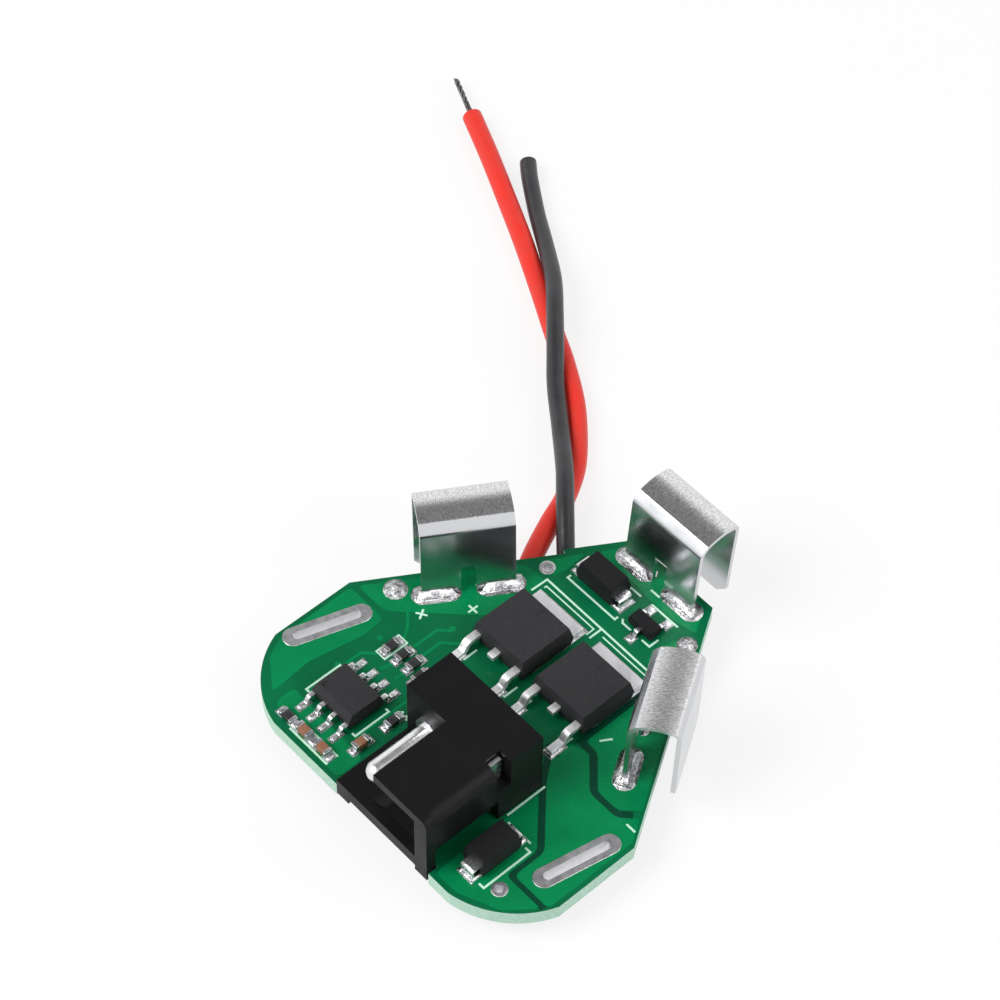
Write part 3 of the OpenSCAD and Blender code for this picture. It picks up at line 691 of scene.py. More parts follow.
class Sheet:
    """Thin flat shapes on the board's top face, gathered in one bmesh.

    Places are in millimetres from a datum on the board's middle line, 20.2 behind its front edge.
    """

    datum = 20.2
    disc_sides = 24
    # Crossing strokes end at slightly different heights, so that no two faces share a plane
    lift_step = 0.0004
    lift_cycle = 9

    def __init__(self, level: float, thickness: float) -> None:
        """Starts an empty sheet.

        Args:
            level: Height of its underside in millimetres.
            thickness: Thickness in millimetres.
        """
        self.level = level
        self.thickness = thickness
        self.strokes = 0
        self.shape = bmesh.new()
        self.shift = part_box("board")[0].y / MM + self.datum

    def bar(self, start: Point, end: Point, width: float) -> None:
        """Adds a straight stroke with square ends.

        Args:
            start: Where its middle line starts.
            end: Where its middle line ends.
            width: Its width. It runs on past both points by half of that.
        """
        first, last = Vector((*start, 0.0)), Vector((*end, 0.0))
        run = last - first
        self.strokes += 1
        lift = self.lift_step * (self.strokes % self.lift_cycle)
        middle = (first + last) / 2 + Vector((0, 0, self.level + lift + self.thickness / 2))
        place = Matrix.Translation(middle * MM)
        turn = Matrix.Rotation(math.atan2(run.y, run.x), 4, "Z")
        size = Matrix.Diagonal((*(Vector((run.length + width, width, self.thickness)) * MM), 1.0))
        bmesh.ops.create_cube(self.shape, size=1.0, matrix=place @ turn @ size)

    def line(self, points: list[Point], width: float, closed: bool = False) -> None:
        """Adds a stroke through several points, back to the first one if it is closed."""
        for start, end in zip(points, points[1:] + (points[:1] if closed else [])):
            self.bar(start, end, width)

    def frame(self, low: Point, high: Point, width: float) -> None:
        """Adds a rectangle of strokes."""
        self.line([low, (high[0], low[1]), high, (low[0], high[1])], width, closed=True)

    def disc(self, middle: Point, radius: float) -> None:
        """Adds a round spot.

        Args:
            middle: Its middle.
            radius: Its radius.
        """
        place = Matrix.Translation(Vector((*middle, self.level + self.thickness / 2)) * MM)
        bmesh.ops.create_cone(
            self.shape,
            cap_ends=True,
            segments=self.disc_sides,
            radius1=radius * MM,
            radius2=radius * MM,
            depth=self.thickness * MM,
            matrix=place,
        )

    def patch(self, points: list[Point], rounding: float) -> None:
        """Adds an area with rounded corners.

        Args:
            points: Its corners, counter-clockwise.
            rounding: Cut-off of each corner.
        """
        corners = [self.shape.verts.new(Vector((*point, self.level)) * MM) for point in points]
        face = self.shape.faces.new(corners)
        rounded = bmesh.ops.bevel(
            self.shape,
            geom=corners,
            offset=rounding * MM,
            segments=3,
            profile=0.5,
            affect="VERTICES",
            material=-1,
        )
        faces = {face} if face.is_valid else set()
        faces |= {found for vert in rounded["verts"] for found in vert.link_faces}
        raised = bmesh.ops.extrude_face_region(self.shape, geom=list(faces))
        lifted = [item for item in raised["geom"] if isinstance(item, bmesh.types.BMVert)]
        bmesh.ops.translate(self.shape, verts=lifted, vec=(0.0, 0.0, self.thickness * MM))

    def settle(self) -> None:
        """Moves the sheet from its datum to its place on the board."""
        bmesh.ops.translate(self.shape, verts=self.shape.verts, vec=(0.0, self.shift * MM, 0.0))

    def trim(self, place: Vector, outward: Vector) -> None:
        """Takes off what lies past a straight edge of the board.

        Args:
            place: A point on the edge, in metres.
            outward: The direction that leads off the board.
        """
        made = slice_through(self.shape, place, outward, clear_outer=True)["geom_cut"]
        rims = [item for item in made if isinstance(item, bmesh.types.BMEdge) and item.is_boundary]
        bmesh.ops.holes_fill(self.shape, edges=rims)

    def cut(self, middle: Vector, turn: float, length: float, width: float) -> None:
        """Cuts a rectangle out of the settled sheet.

        Args:
            middle: Its middle in metres.
            turn: Angle of its length from X in degrees.
            length: Its length in millimetres.
            width: Its width in millimetres.
        """
        along = Vector((math.cos(math.radians(turn)), math.sin(math.radians(turn)), 0.0))
        across = Vector((-along.y, along.x, 0.0))
        half_l, half_w = length / 2 * MM, width / 2 * MM
        for axis, half in ((along, half_l), (-along, half_l), (across, half_w), (-across, half_w)):
            slice_through(self.shape, middle + axis * half, axis)
        inside = []
        for face in self.shape.faces:
            off = face.calc_center_median() - middle
            if abs(off.dot(along)) < half_l and abs(off.dot(across)) < half_w:
                inside.append(face)
        bmesh.ops.delete(self.shape, geom=inside, context="FACES")

    def finish(self, name: str, material: bpy.types.Material) -> None:
        """Ends the sheet as a piece of the solder mask."""
        bmesh.ops.recalc_face_normals(self.shape, faces=self.shape.faces)
        make_piece(self.shape, name, material, Slot.MASK, crease=30.0)


# ---- Sub-assemblies -----------------------------------------------------------------------------


@dataclass(frozen=True)
class Lamp:
    """A square soft lamp that faces the board. Place and size in metres, power in watts."""

    name: str
    place: Place
    size: float
    watts: float

    def build(self) -> None:
        """Makes the lamp."""
        data = bpy.data.lights.new(self.name, "AREA")
        data.size = self.size
        data.energy = self.watts
        lamp = bpy.data.objects.new(self.name, data)
        aim = -Vector(self.place)
        turn = aim.to_track_quat("-Z", "Y").to_matrix().to_4x4()
        lamp.matrix_world = Matrix.Translation(self.place) @ turn
        link(lamp)


@dataclass
class Studio:
    """Camera, floor, backdrop and lamps. The camera's values are in millimetres, the floor's side in metres.

    The ceiling is what the metal mirrors above the board: it starts and ends where a direction's part along
    the ceiling's axis passes the two limits.
    """

    eye: Place = (113.4, -109.72, 233.0)
    right: Place = (0.66933, 0.74288, 0.01152)
    ahead: Place = (-0.44805, 0.41597, -0.79134)
    lens: float = 115.2
    sensor: float = 36.0
    floor_side: float = 6.0
    floor_white: float = 0.8
    floor_grey: Colour = (0.86, 0.86, 0.86, 1.0)
    white: Colour = (1.0, 1.0, 1.0, 1.0)
    world_level: float = 0.5
    ceiling: float = 0.22
    ceiling_axis: Place = (-0.25, 0.0, 0.97)
    ceiling_limits: tuple[float, float] = (0.77, 0.87)
    lamps: tuple[Lamp, ...] = (
        Lamp("key_lamp", (-0.25, -0.55, 0.7), 0.5, 6.0),
        Lamp("fill_lamp", (0.6, 0.3, 0.5), 0.6, 2.4),
    )

    def camera(self) -> None:
        """Makes the camera."""
        data = bpy.data.cameras.new("studio_camera")
        data.sensor_width = self.sensor
        data.lens = self.lens
        data.clip_start = 0.01
        data.clip_end = 20.0
        ahead = Vector(self.ahead).normalized()
        right = Vector(self.right)
        right = (right - ahead * right.dot(ahead)).normalized()
        up = right.cross(ahead)
        turn = Matrix((right, up, -ahead)).transposed().to_4x4()
        camera = bpy.data.objects.new("studio_camera", data)
        camera.matrix_world = Matrix.Translation(Vector(self.eye) * MM) @ turn
        link(camera)
        bpy.context.scene.camera = camera
        bpy.context.scene.view_settings.view_transform = "Standard"

    def floor(self) -> None:
        """Makes the pale floor, which shows white and keeps the object's shadow."""
        shape = bmesh.new()
        bmesh.ops.create_grid(shape, x_segments=1, y_segments=1, size=self.floor_side / 2)
        mesh = bpy.data.meshes.new("floor")
        shape.to_mesh(mesh)
        shape.free()
        shader = Shader.named("floor_white")
        direct = shader.light_path("Is Camera Ray") + shader.light_path("Is Glossy Ray")
        seen = (direct + shader.light_path("Is Transmission Ray")) > 0.5
        plain = shader.node("ShaderNodeBsdfDiffuse", {}, {"Color": self.floor_grey})
        white = shader.node("ShaderNodeEmission", {}, {"Color": self.white, "Strength": 1.0})
        surface = shader.node("ShaderNodeMixShader", {}, {0: seen * self.floor_white, 1: plain, 2: white})
        shader.node("ShaderNodeOutputMaterial", {}, {"Surface": surface})
        mesh.materials.append(shader.owner)
        floor = bpy.data.objects.new("floor", mesh)
        link(floor)

    def world(self) -> None:
        """Makes the surroundings: white walls below a dark ceiling, dimmer as a light than as a backdrop."""
        world = bpy.data.worlds.new("studio_world")
        bpy.context.scene.world = world
        shader = Shader(world)
        seen = shader.light_path("Is Camera Ray") + shader.light_path("Is Transmission Ray")
        glossy = shader.light_path("Is Glossy Ray")
        toward = shader.node("ShaderNodeTexCoord", out="Generated")
        sockets = {0: toward, 1: self.ceiling_axis}
        above = shader.node("ShaderNodeVectorMath", {"operation": "DOT_PRODUCT"}, sockets, out="Value")
        start, end = self.ceiling_limits
        walls = shader.spread(above, 1.0, self.ceiling, start=start, end=end)
        level = seen + glossy * walls + (1 - (seen + glossy)) * self.world_level
        back = shader.node("ShaderNodeBackground", {}, {"Color": self.white, "Strength": level})
        shader.node("ShaderNodeOutputWorld", {}, {"Surface": back})

    def build(self) -> None:
        """Makes the whole studio."""
        self.camera()
        self.floor()
        self.world()
        for lamp in self.lamps:
            lamp.build()
        LOG.info("studio is set")


@dataclass
class LeadWire:
    """One lead wire, from its free end to its joint under the board. Sizes and route in metres."""

    name: str
    node: str
    route: tuple[Place, ...]
    diameter: float
    length: float
    slot: Slot
    finish: VinylFinish
    round_steps: int = 6
    run_steps: int = 10

    def build(self, with_pieces: list[bpy.types.Object]) -> None:
        """Makes the insulation as one smooth curve through the route's points.

        Args:
            with_pieces: Not used.
        """
        curve = bpy.data.curves.new(self.name, "CURVE")
        curve.dimensions = "3D"
        curve.bevel_depth = self.diameter / 2
        curve.bevel_resolution = self.round_steps
        curve.resolution_u = self.run_steps
        curve.use_fill_caps = True
        spline = curve.splines.new("BEZIER")
        points = [Vector(point) for point in self.route]
        spline.bezier_points.add(len(points) - 1)
        last = len(points) - 1
        for index, (knot, point) in enumerate(zip(spline.bezier_points, points)):
            # A sixth of the way between its neighbours is the handle of an even curve through the points
            along = (points[min(index + 1, last)] - points[max(index - 1, 0)]) / 6
            knot.handle_left_type = knot.handle_right_type = "FREE"
            knot.co, knot.handle_left, knot.handle_right = point, point - along, point + along
        curve.materials.append(self.finish.material())
        wire = bpy.data.objects.new(self.name, curve)
        link(wire)
        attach(wire, BODY)
        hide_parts(self.node)
        LOG.info("made %s, %.1f mm long", self.name, self.length / MM)


@dataclass
class StrandedTip:
    """Tinned strands that stand out of the red wire's free end. Sizes in millimetres.

    The first strand is the straight core, with a share of the others' turns. Their ends are staggered.
    """

    strands: int = 7
    strand_d: float = 0.2
    bundle_d: float = 0.6
    length: float = 5.5
    stagger: float = 0.25
    turns: float = 1.6
    core_share: float = 0.05
    sides: int = 8
    steps: int = 14

    def build(self, root: Vector, ahead: Vector, material: bpy.types.Material) -> bpy.types.Object:
        """Makes the twisted strands.

        Args:
            root: Where they leave the insulation, in metres.
            ahead: The direction that they point in.
            material: Their finish.

        Returns:
            The piece.
        """
        shape = bmesh.new()
        place = Matrix.Translation(root) @ ahead.to_track_quat("Z", "Y").to_matrix().to_4x4()
        for index in range(self.strands):
            ring = (self.bundle_d - self.strand_d) / 2 if index else 0.0
            start = math.tau * index / (self.strands - 1)
            height = (self.length - self.stagger * (index % 3)) * MM
            disc = bmesh.ops.create_circle(
                shape,
                cap_ends=True,
                segments=self.sides,
                radius=self.strand_d / 2 * MM,
                matrix=Matrix.Translation((ring * MM, 0, 0)),
            )
            verts = disc["verts"]
            bmesh.ops.rotate(shape, verts=verts, matrix=Matrix.Rotation(start, 3, "Z"))
            bmesh.ops.spin(
                shape,
                geom=list({face for vert in verts for face in vert.link_faces}),
                axis=(0.0, 0.0, 1.0),
                dvec=(0.0, 0.0, height / self.steps),
                angle=math.tau * self.turns * (1 if index else self.core_share),
                steps=self.steps,
            )
        bmesh.ops.remove_doubles(shape, verts=shape.verts, dist=MERGE / 2)
        bmesh.ops.recalc_face_normals(shape, faces=shape.faces)
        bmesh.ops.transform(shape, matrix=place, verts=shape.verts)
        return make_piece(shape, "red_wire_strands", material, Slot.CORE, "red_wire_tip", crease=50.0)


@dataclass
class Wiring:
    """The two lead wires that twist round each other, and the red one's bare strands.

    All is in millimetres. A route runs from the wire's free end to its joint under the board.
    """

    nodes: Nodes
    red_d: float = 2.0
    red_l: float = 59.5
    black_d: float = 1.7
    black_l: float = 53.0
    red_route: tuple[Place, ...] = (
        (-56.2, 42.9, 1), (-51.1, 40.6, 1), (-45.7, 38, 1), (-40.2, 35.3, 1), (-34.3, 32.2, 1),
        (-29.9, 29.8, 1), (-25.7, 27.6, 1), (-21.2, 24.7, 1), (-16.6, 20.5, 1), (-14.2, 16.9, 1),
        (-13, 14, 1), (-11.5, 10.7, 1), (-10.2, 8.3, 1),
    )
    black_route: tuple[Place, ...] = (
        (-47.8, 42.9, 0.88), (-46, 41.5, 0.88), (-42, 38.8, 0.92), (-38.1, 36.3, 1.6), (-33.6, 33.2, 2.6),
        (-29.9, 30, 3), (-26.8, 27.2, 2.8), (-23.9, 24.6, 2.2), (-20, 21.6, 2.1), (-15.9, 18.3, 2.9),
        (-14.2, 16.8, 3.05), (-12, 14.8, 2.6), (-9.5, 12.6, 1.5), (-7.9, 11.2, 1.15), (-6.9, 10.3, 1.1),
    )
    red: VinylFinish = VinylFinish("wire_red", paint(232, 50, 38), paint(222, 58, 46))
    black: VinylFinish = VinylFinish("wire_black", paint(42, 42, 44), paint(56, 56, 59), 0.26, 0.4)
    core: MetalFinish = MetalFinish(
        "wire_core", paint(150, 148, 146), paint(58, 56, 56), 0.22, 0.45, grain=0.4
    )

    def build(self) -> None:
        """Makes both wires and the strands, and dresses the cores."""
        routes = (self.red_route, self.black_route)
        red, black = (tuple((x * MM, y * MM, z * MM) for x, y, z in route) for route in routes)
        core = self.core.material()
        ahead = (Vector(red[0]) - Vector(red[1])).normalized()
        strands = StrandedTip().build(Vector(red[0]), ahead, core)
        LeadWire(
            "red_lead", "red_wire", red, self.red_d * MM, self.red_l * MM, Slot.RED, self.red
        ).build([strands])
        LeadWire(
            "black_lead", "black_wire", black, self.black_d * MM, self.black_l * MM, Slot.BLACK, self.black
        ).build([])
        dress(self.nodes["wire_cores"], core)


@dataclass
class Laminate:
    """The bare board with its masked copper and its print.

    Sizes and places are in millimetres, the places as on a Sheet, and angles in degrees.
    """

    nodes: Nodes
    slope_start: float = 14.5
    slope_angle: float = 58.0
    rim: float = 0.25
    copper_t: float = 0.02
    print_t: float = 0.015
    gap_w: float = 0.7
    track_w: float = 0.3
    via_r: float = 0.3
    line_w: float = 0.2
    fine_w: float = 0.14
    sign_arm: float = 0.45
    slot_turns: tuple[float, float] = (72.0, 79.0)
    slot_cut: tuple[float, float] = (7.1, 1.3)
    pad_cut: float = 0.9
    bare: MaskedCopperFinish = MaskedCopperFinish("bare_gap", paint(4, 60, 42), paint(8, 70, 48))
    covered: MaskedCopperFinish = MaskedCopperFinish("masked_copper", paint(0, 118, 68), paint(2, 132, 78))

    def gaps(self, level: float) -> None:
        """Makes the dark bare gaps between the copper areas that carry the pack's current.

        Args:
            level: Height of the board's top face in millimetres.
        """
        sheet = Sheet(level, self.copper_t / 2)
        around_clip = [(15.7, -3.8), (15.0, -4.5), (12.1, -4.5), (9.2, -1.8), (7.6, -1.8), (7.6, 6.6)]
        beside_jack = [(6.3, -4.2), (8.9, -7.3), (13.45, -11.8), (13.45, -15.25), (17.3, -15.25)]
        for points in (around_clip, beside_jack):
            sheet.line(points, self.gap_w)
        sheet.settle()
        sheet.finish("copper_gaps", self.bare.material())

    def copper(self, level: float) -> None:
        """Makes the mask over the copper areas and tracks, which stands a little proud.

        Args:
            level: Height of the board's top face in millimetres.
        """
        sheet = Sheet(level, self.copper_t)
        self.areas(sheet)
        self.tracks(sheet)
        sheet.settle()
        self.trim_slopes(sheet)
        self.clear_pads(sheet)
        sheet.finish("masked_copper", self.covered.material())

    def areas(self, sheet: Sheet) -> None:
        """Lays the wide copper areas.

        Args:
            sheet: The sheet that they go on.
        """
        # Area of the left clip and of the pack's plus, round both of its solder joints
        sheet.patch([(-17.6, -5.4), (-13.9, -5.4), (-6.9, 1.7), (-6.9, 7.4), (-9.3, 7.4), (-10.0, 6.7)], 0.5)
        # Area of the left cell strip, with the outer rim of the board
        sheet.patch(
            [(-17.9, -6.0), (-13.4, -6.0), (-13.1, -8.2), (-14.2, -13.9), (-13.8, -18.3), (-17.0, -16.0),
             (-17.9, -13.6)],
            0.5,
        )
        # Area in front of the controller
        sheet.patch([(-12.9, -16.6), (-3.4, -16.9), (-3.4, -19.7), (-9.4, -19.7), (-12.9, -18.7)], 0.5)
        # Area of the charge input at the apex
        sheet.patch([(-4.4, 16.0), (4.4, 16.0), (6.1, 13.4), (3.2, 12.9), (-5.6, 12.9), (-6.1, 13.4)], 0.4)
        sheet.patch([(-6.8, 12.2), (-9.0, 8.4), (-6.9, 8.2), (-6.6, 9.6)], 0.3)
        # Area of the first cell, between the apex and the right clip
        sheet.patch([(6.4, 13.0), (5.2, 11.2), (5.2, 8.0), (8.9, 8.0)], 0.4)
        # Area of the right clip and of the pack's minus
        sheet.patch(
            [(7.9, 6.9), (7.9, -1.5), (9.4, -1.5), (12.3, -4.2), (14.7, -4.2), (16.6, -2.3), (11.4, 6.9)],
            0.5,
        )
        # Area of the right cell strip
        sheet.patch(
            [(17.9, -4.9), (17.1, -2.9), (15.2, -4.8), (11.9, -4.8), (9.0, -2.1), (5.9, -3.0), (8.6, -6.7),
             (13.7, -11.6), (13.7, -15.0), (17.9, -15.0)],
            0.5,
        )
        # Area of the front diode, with the front rim of the board
        sheet.patch(
            [(9.1, -8.1), (13.2, -12.0), (13.2, -15.5), (17.5, -15.5), (15.4, -18.1), (11.6, -19.7),
             (9.1, -19.7)],
            0.5,
        )

    def tracks(self, sheet: Sheet) -> None:
        """Lays the thin tracks round the controller and its resistors, and four vias.

        Args:
            sheet: The sheet that they go on.
        """
        for points in (
            [(-13.1, -3.4), (-11.2, -5.1), (-10.6, -6.0)],
            [(-8.4, -2.4), (-9.3, -3.3), (-9.3, -5.9)],
            [(-6.9, -2.8), (-8.1, -4.0), (-8.1, -5.9)],
            [(-11.9, -16.0), (-11.9, -9.9), (-10.9, -8.9)],
            [(-5.9, -9.3), (-5.4, -9.8), (-5.4, -15.9)],
            [(-7.8, -8.4), (-7.8, -9.3)],
            [(-9.15, -8.4), (-9.4, -9.6)],
        ):
            sheet.line(points, self.track_w)
        for via in ((-8.5, -2.2), (-12.0, -7.6), (-12.3, -12.2), (7.2, -4.3)):
            sheet.disc(via, self.via_r)

    def trim_slopes(self, sheet: Sheet) -> None:
        """Trims the copper at the board's two sloping sides.

        Args:
            sheet: The settled sheet.
        """
        low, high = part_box("board")
        slope = math.radians(self.slope_angle)
        for side in (-1, 1):
            outward = Vector((side * math.sin(slope), math.cos(slope), 0.0))
            foot = Vector((side * high.x, low.y + self.slope_start * MM, 0.0))
            sheet.trim(foot - outward * self.rim * MM, outward)

    def clear_pads(self, sheet: Sheet) -> None:
        """Cuts the copper free of the plated slots, from left to right, and of the plated holes.

        Args:
            sheet: The settled sheet.
        """
        slots = sorted(islands(self.nodes["slot_pads"]), key=lambda box: box[0].x)
        for (low, high), turn in zip(slots, self.slot_turns):
            sheet.cut((low + high) / 2, turn, *self.slot_cut)
        for low, high in islands(self.nodes["round_pads"]):
            sheet.cut((low + high) / 2, 0.0, self.pad_cut, self.pad_cut)

    def print_marks(self, level: float) -> None:
        """Makes the white outlines round the parts, and the plain plus and minus signs.

        Args:
            level: Height of the mask's top in millimetres.
        """
        sheet = Sheet(level, self.print_t)
        thin = self.line_w
        # Outlines behind the tabs of the switching transistors, inside one long outer line
        sheet.line([(-7.0, 5.9), (-6.95, 7.65), (7.2, 7.5)], thin)
        sheet.line([(-6.45, 6.9), (-6.45, 7.1), (-0.25, 7.05), (-0.25, 6.2)], self.fine_w)
        sheet.line([(0.2, 7.5), (0.2, 6.2)], thin)
        sheet.line([(0.95, 7.05), (7.3, 7.0)], self.fine_w)
        # Boxes between the leads of the switching transistors
        for x in (-6.0, -0.75, 1.1, 6.3):
            sheet.line([(x, -3.6), (x + 0.6, -3.6), (x + 0.6, -2.2)], thin)
        # Brackets round the rear diode and the small transistor
        sheet.line([(-5.9, 9.45), (-5.9, 9.15), (0.2, 9.15), (0.2, 9.45)], thin)
        sheet.line([(-1.35, 12.35), (-1.35, 12.6), (-0.15, 12.6)], thin)
        sheet.line([(0.7, 9.65), (0.95, 9.4), (1.9, 9.4)], thin)
        sheet.line([(3.5, 9.4), (4.35, 9.4), (4.35, 10.4)], thin)
        # Bar at the rear diode's cathode
        sheet.line([(1.3, 12.7), (4.4, 12.7)], thin)
        # Line beside the jack
        sheet.line([(8.95, -7.3), (8.95, -11.4)], thin)
        # Outline of the front diode
        sheet.line([(12.4, -12.5), (12.9, -12.5), (12.9, -17.7), (12.4, -17.7)], thin)
        sheet.line([(9.6, -11.9), (12.2, -11.9)], thin)
        # Brackets round the controller
        sheet.line([(-5.9, -12.1), (-5.6, -12.1), (-5.6, -15.9), (-5.9, -15.9)], thin)
        sheet.line([(-11.8, -12.1), (-12.1, -12.1), (-12.1, -15.9), (-11.8, -15.9)], thin)
        # Box of one resistor and of two capacitors
        sheet.frame((-11.1, -8.75), (-10.0, -6.2), thin)
        sheet.frame((-9.85, -19.55), (-7.45, -18.35), thin)
        sheet.frame((-7.4, -19.55), (-5.1, -18.35), thin)
        # Ticks at the two parts beside the jack
        sheet.line([(-5.0, -11.5), (-4.75, -11.25)], thin)
        sheet.line([(-4.2, -11.25), (-3.95, -11.5)], thin)
        self.signs(sheet)
        sheet.settle()
        sheet.finish("board_print", PrintFinish().material())

    def signs(self, sheet: Sheet) -> None:
        """Prints the signs of the connection points.

        Plus signs stand at the left clip. Minus signs stand at the charge input, the right clip and the
        right cell's strip.

        Args:
            sheet: The sheet that they go on.
        """
        for x, y, turn in ((-8.9, 0.55, 0.0), (-11.5, -3.2, 32.0)):
            arm = Vector((math.cos(math.radians(turn)), math.sin(math.radians(turn)))) * self.sign_arm
            sheet.bar((x - arm.x, y - arm.y), (x + arm.x, y + arm.y), self.line_w)
            sheet.bar((x + arm.y, y - arm.x), (x - arm.y, y + arm.x), self.line_w)
        for start, end in (
            ((0.1, 13.75), (1.0, 13.75)),
            ((8.7, -0.5), (9.2, 0.3)),
            ((16.35, -4.6), (17.2, -4.6)),
        ):
            sheet.bar(start, end, self.line_w)

    def build(self) -> None:
        """Dresses the board and lays its copper and print."""
        low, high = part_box("board")
        dress(self.nodes["board"], LaminateFinish(high.z, low.z).material())
        self.gaps(high.z / MM)
        self.copper(high.z / MM)
        self.print_marks(high.z / MM + self.copper_t)


@dataclass
class Solder:
    """Pads, joints and the solder at the feet of the parts. Sizes in millimetres."""

    nodes: Nodes
    big_land: float = 3.0
    big_t: float = 0.1
    small_t: float = 0.24
    margin: float = 0.04
    sunk: float = 0.02
    fullness: float = 0.9
    slot_edge: float = 0.09
    hole_edge: float = 0.06
    pad: MetalFinish = MetalFinish(
        "tinned_pad",
        paint(214, 214, 216),
        paint(150, 151, 154),
        0.26,
        0.5,
        grain=0.3,
        relief=0.02,
        patchy=0.6,
        # Walls of the slots and holes painted lighter as a painted highlight
        wall_highlight=paint(232, 232, 234),
    )
    bright: MetalFinish = MetalFinish(
        "solder", paint(232, 232, 234), paint(140, 140, 143), 0.1, 0.3, grain=0.5, relief=0.12, patchy=0.7
    )
    dull: MetalFinish = MetalFinish(
        "dull_solder", paint(226, 226, 229), paint(96, 94, 94), 0.14, 0.4, grain=0.42, relief=0.3, patchy=0.42
    )

    def pillows(self, bright: bpy.types.Material) -> None:
        """Makes a low round-edged pillow of solder on each part's land, thinner on the big ones.

        Args:
            bright: Its finish.
        """
        shape = bmesh.new()
        for low, high in islands(self.nodes["lands"]):
            size = (high - low) / MM
            tall = self.big_t if max(size.x, size.y) > self.big_land else self.small_t
            span = Vector((size.x - 2 * self.margin, size.y - 2 * self.margin, 2 * tall))
            middle = Vector(((low.x + high.x) / 2, (low.y + high.y) / 2, low.z + self.sunk * MM))
            place = Matrix.Translation(middle) @ Matrix.Diagonal((*(span * MM), 1.0))
            cube = bmesh.ops.create_cube(shape, size=1.0, matrix=place)
            bmesh.ops.bevel(
                shape,
                geom=list({edge for vert in cube["verts"] for edge in vert.link_edges}),
                offset=tall * self.fullness * MM,
                segments=4,
                profile=0.5,
                affect="EDGES",
                material=-1,
            )
        up = Vector((0, 0, 1))
        slice_through(shape, (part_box("board")[1].z - MERGE / 2) * up, up, clear_inner=True)
        bmesh.ops.recalc_face_normals(shape, faces=shape.faces)
        make_piece(shape, "foot_solder", bright, Slot.SOLDER, crease=40.0)

    def bead(self, name: str, material: bpy.types.Material) -> None:
        """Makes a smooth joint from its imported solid."""
        make_piece(merged_copy(self.nodes[name]), f"{name}_bead", material, Slot.SOLDER, name, crease=60.0)

    def build(self) -> None:
        """Dresses the pads and joints and adds the pillows."""
        pad = self.pad.material()
        dress(self.nodes["lands"], pad)
        for name, edge in (("slot_pads", self.slot_edge), ("round_pads", self.hole_edge)):
            RoundedPart(self.nodes, name, edge, Slot.PAD, above=50.0).build(pad)
        bright = self.bright.material()
        self.bead("solder_domes", self.dull.material())
        for name in ("apex_clip", "left_clip", "right_clip", "jack", "wire"):
            self.bead(f"{name}_solder", bright)
        self.pillows(bright)


@dataclass
class SpringClip:
    """One folded spring clip with rolled edges and a brushed arch under a painted highlight, turned with its
    side of the board.
    """

    nodes: Nodes
    node: str
    turn: float
    edge: float = 0.05

    def build(self) -> None:
        """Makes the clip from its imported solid."""
        finish = ClipFinish(f"{self.node}_metal", self.turn)
        shape = merged_copy(self.nodes[self.node])
        round_edges(shape, self.edge, 2, above=50.0)
        make_piece(shape, f"{self.node}_strip", finish.material(), Slot.CLIP, self.node, crease=30.0)


@dataclass
class PowerJack:
    """The half-open power jack: its moulded housing and its plated metal pieces."""

    nodes: Nodes
    edge: float = 0.12
    moulding: MouldedFinish = MouldedFinish(
        "jack_black", paint(19, 19, 21), paint(25, 25, 27), 0.34, 0.42, 0.12
    )
    plating: MetalFinish = MetalFinish(
        "contact_metal", paint(250, 250, 252), paint(226, 226, 229), 0.2, 0.32, grain=0.5
    )

    def build(self) -> None:
        """Rounds the housing and dresses the pin, the spring and the contact."""
        RoundedPart(self.nodes, "jack_housing", self.edge, Slot.JACK, steps=3).build(self.moulding.material())
        plated = self.plating.material()
        for name in ("jack_centre_pin", "jack_side_spring", "jack_switch_contact"):
            shape = merged_copy(self.nodes[name])
            make_piece(shape, f"{name}_plated", plated, Slot.CONTACT, name, crease=40.0)


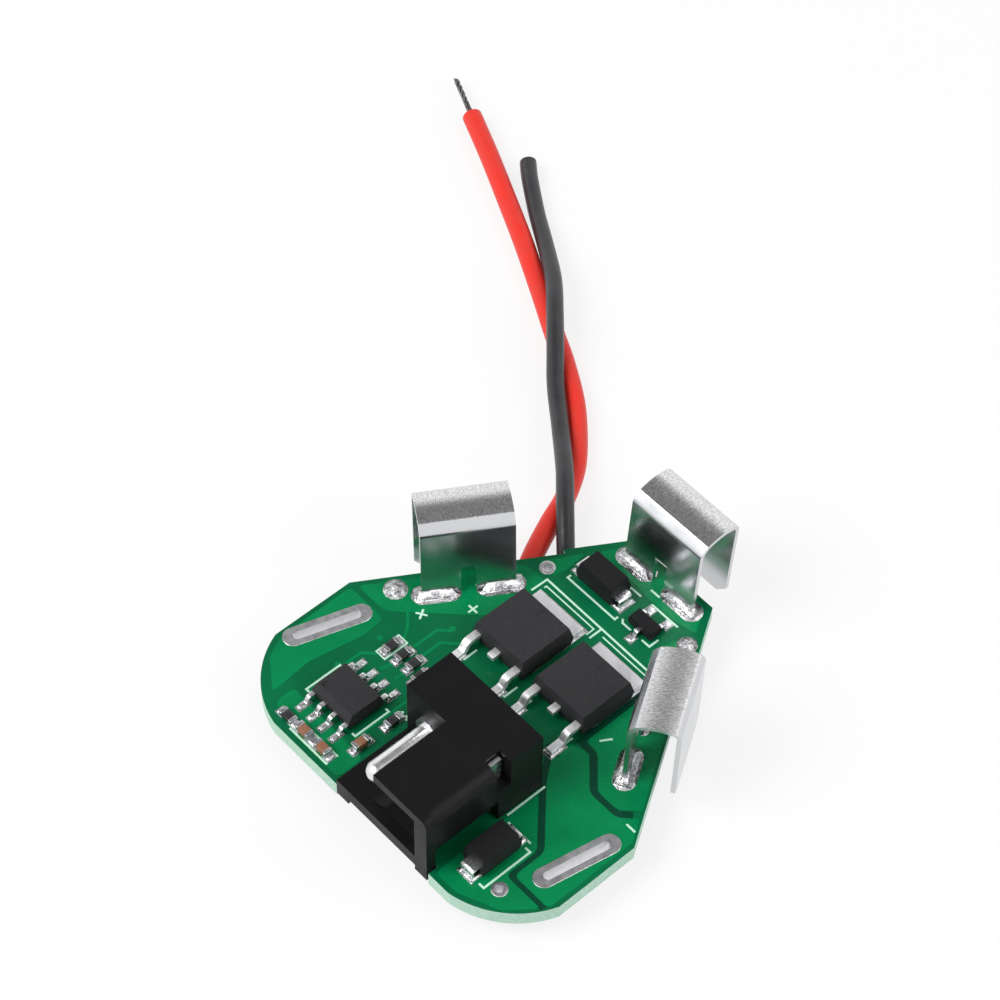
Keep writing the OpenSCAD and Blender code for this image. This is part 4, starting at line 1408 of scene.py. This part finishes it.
@dataclass
class Packages:
    """The moulded circuit parts: switching transistors, controller, diodes and small transistor.

    Each table gives the width of the rounded edges of a node, in millimetres.
    """

    nodes: Nodes
    grey_bodies: tuple[tuple[str, float], ...] = (
        ("left_power_body", 0.1),
        ("right_power_body", 0.1),
        ("controller_body", 0.07),
    )
    dark_bodies: tuple[tuple[str, float], ...] = (
        ("rear_diode_body", 0.08),
        ("front_diode_body", 0.08),
        ("small_transistor_body", 0.05),
    )
    heavy_leads: tuple[tuple[str, float], ...] = (("left_power_leads", 0.05), ("right_power_leads", 0.05))
    fine_leads: tuple[tuple[str, float], ...] = (
        ("controller_leads", 0.03),
        ("rear_diode_leads", 0.03),
        ("front_diode_leads", 0.03),
        ("small_transistor_leads", 0.02),
    )
    grey: MouldedFinish = MouldedFinish("chip_black", paint(50, 50, 52), paint(60, 60, 62), 0.5, 0.6, 0.12)
    dark: MouldedFinish = MouldedFinish("diode_black", paint(27, 27, 29), paint(36, 36, 38), 0.42, 0.52, 0.14)
    satin: MetalFinish = MetalFinish(
        "tab_tin", paint(250, 250, 252), paint(214, 214, 217), 0.42, 0.6, grain=0.3, relief=0.02
    )
    tin: MetalFinish = MetalFinish(
        "lead_tin", paint(246, 246, 248), paint(206, 206, 209), 0.18, 0.36, grain=0.3, relief=0.03
    )

    def build(self) -> None:
        """Rounds and dresses every body and every set of leads."""
        for finish, bodies in ((self.grey, self.grey_bodies), (self.dark, self.dark_bodies)):
            black = finish.material()
            for name, edge in bodies:
                RoundedPart(self.nodes, name, edge, Slot.CHIP).build(black)
        for finish, leads in ((self.satin, self.heavy_leads), (self.tin, self.fine_leads)):
            metal = finish.material()
            for name, edge in leads:
                RoundedPart(self.nodes, name, edge, Slot.LEAD, above=50.0).build(metal)


@dataclass
class ChipParts:
    """The chip resistors and capacitors with their tinned ends. Roundings in millimetres."""

    nodes: Nodes
    resistor_edge: float = 0.04
    capacitor_edge: float = 0.05
    resistor: CeramicFinish = CeramicFinish("resistor_black", paint(34, 34, 36), paint(46, 46, 49), 0.35)
    capacitor: CeramicFinish = CeramicFinish("capacitor_brown", paint(134, 88, 64), paint(150, 104, 78), 0.45)
    end: MetalFinish = MetalFinish("end_tin", paint(200, 200, 203), paint(160, 160, 164), 0.2, 0.4, grain=0.2)

    def build(self) -> None:
        """Rounds and dresses the bodies and their ends."""
        end = self.end.material()
        for name, edge, slot, material in (
            ("resistor_bodies", self.resistor_edge, Slot.RESISTOR, self.resistor.material()),
            ("capacitor_bodies", self.capacitor_edge, Slot.CAPACITOR, self.capacitor.material()),
            ("resistor_ends", self.resistor_edge, Slot.END, end),
            ("capacitor_ends", self.capacitor_edge, Slot.END, end),
        ):
            RoundedPart(self.nodes, name, edge, slot).build(material)


def main() -> None:
    """Builds the studio, the wires and then the board with its parts."""
    logging.basicConfig(level=logging.INFO, format="%(message)s")
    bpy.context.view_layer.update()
    nodes = frame["nodes"]

    Studio().build()
    Wiring(nodes).build()
    Laminate(nodes).build()
    Solder(nodes).build()
    for node, turn in (("apex_clip", 0.0), ("left_clip", 58.0), ("right_clip", -58.0)):
        SpringClip(nodes, node, turn).build()
    PowerJack(nodes).build()
    Packages(nodes).build()
    ChipParts(nodes).build()


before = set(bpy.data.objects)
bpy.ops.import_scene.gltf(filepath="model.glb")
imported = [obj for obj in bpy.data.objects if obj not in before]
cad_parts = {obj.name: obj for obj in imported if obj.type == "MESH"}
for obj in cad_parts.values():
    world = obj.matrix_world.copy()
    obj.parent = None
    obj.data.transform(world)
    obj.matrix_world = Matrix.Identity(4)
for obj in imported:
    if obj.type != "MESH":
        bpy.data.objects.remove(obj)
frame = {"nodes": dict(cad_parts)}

if __name__ == "__main__":
    main()
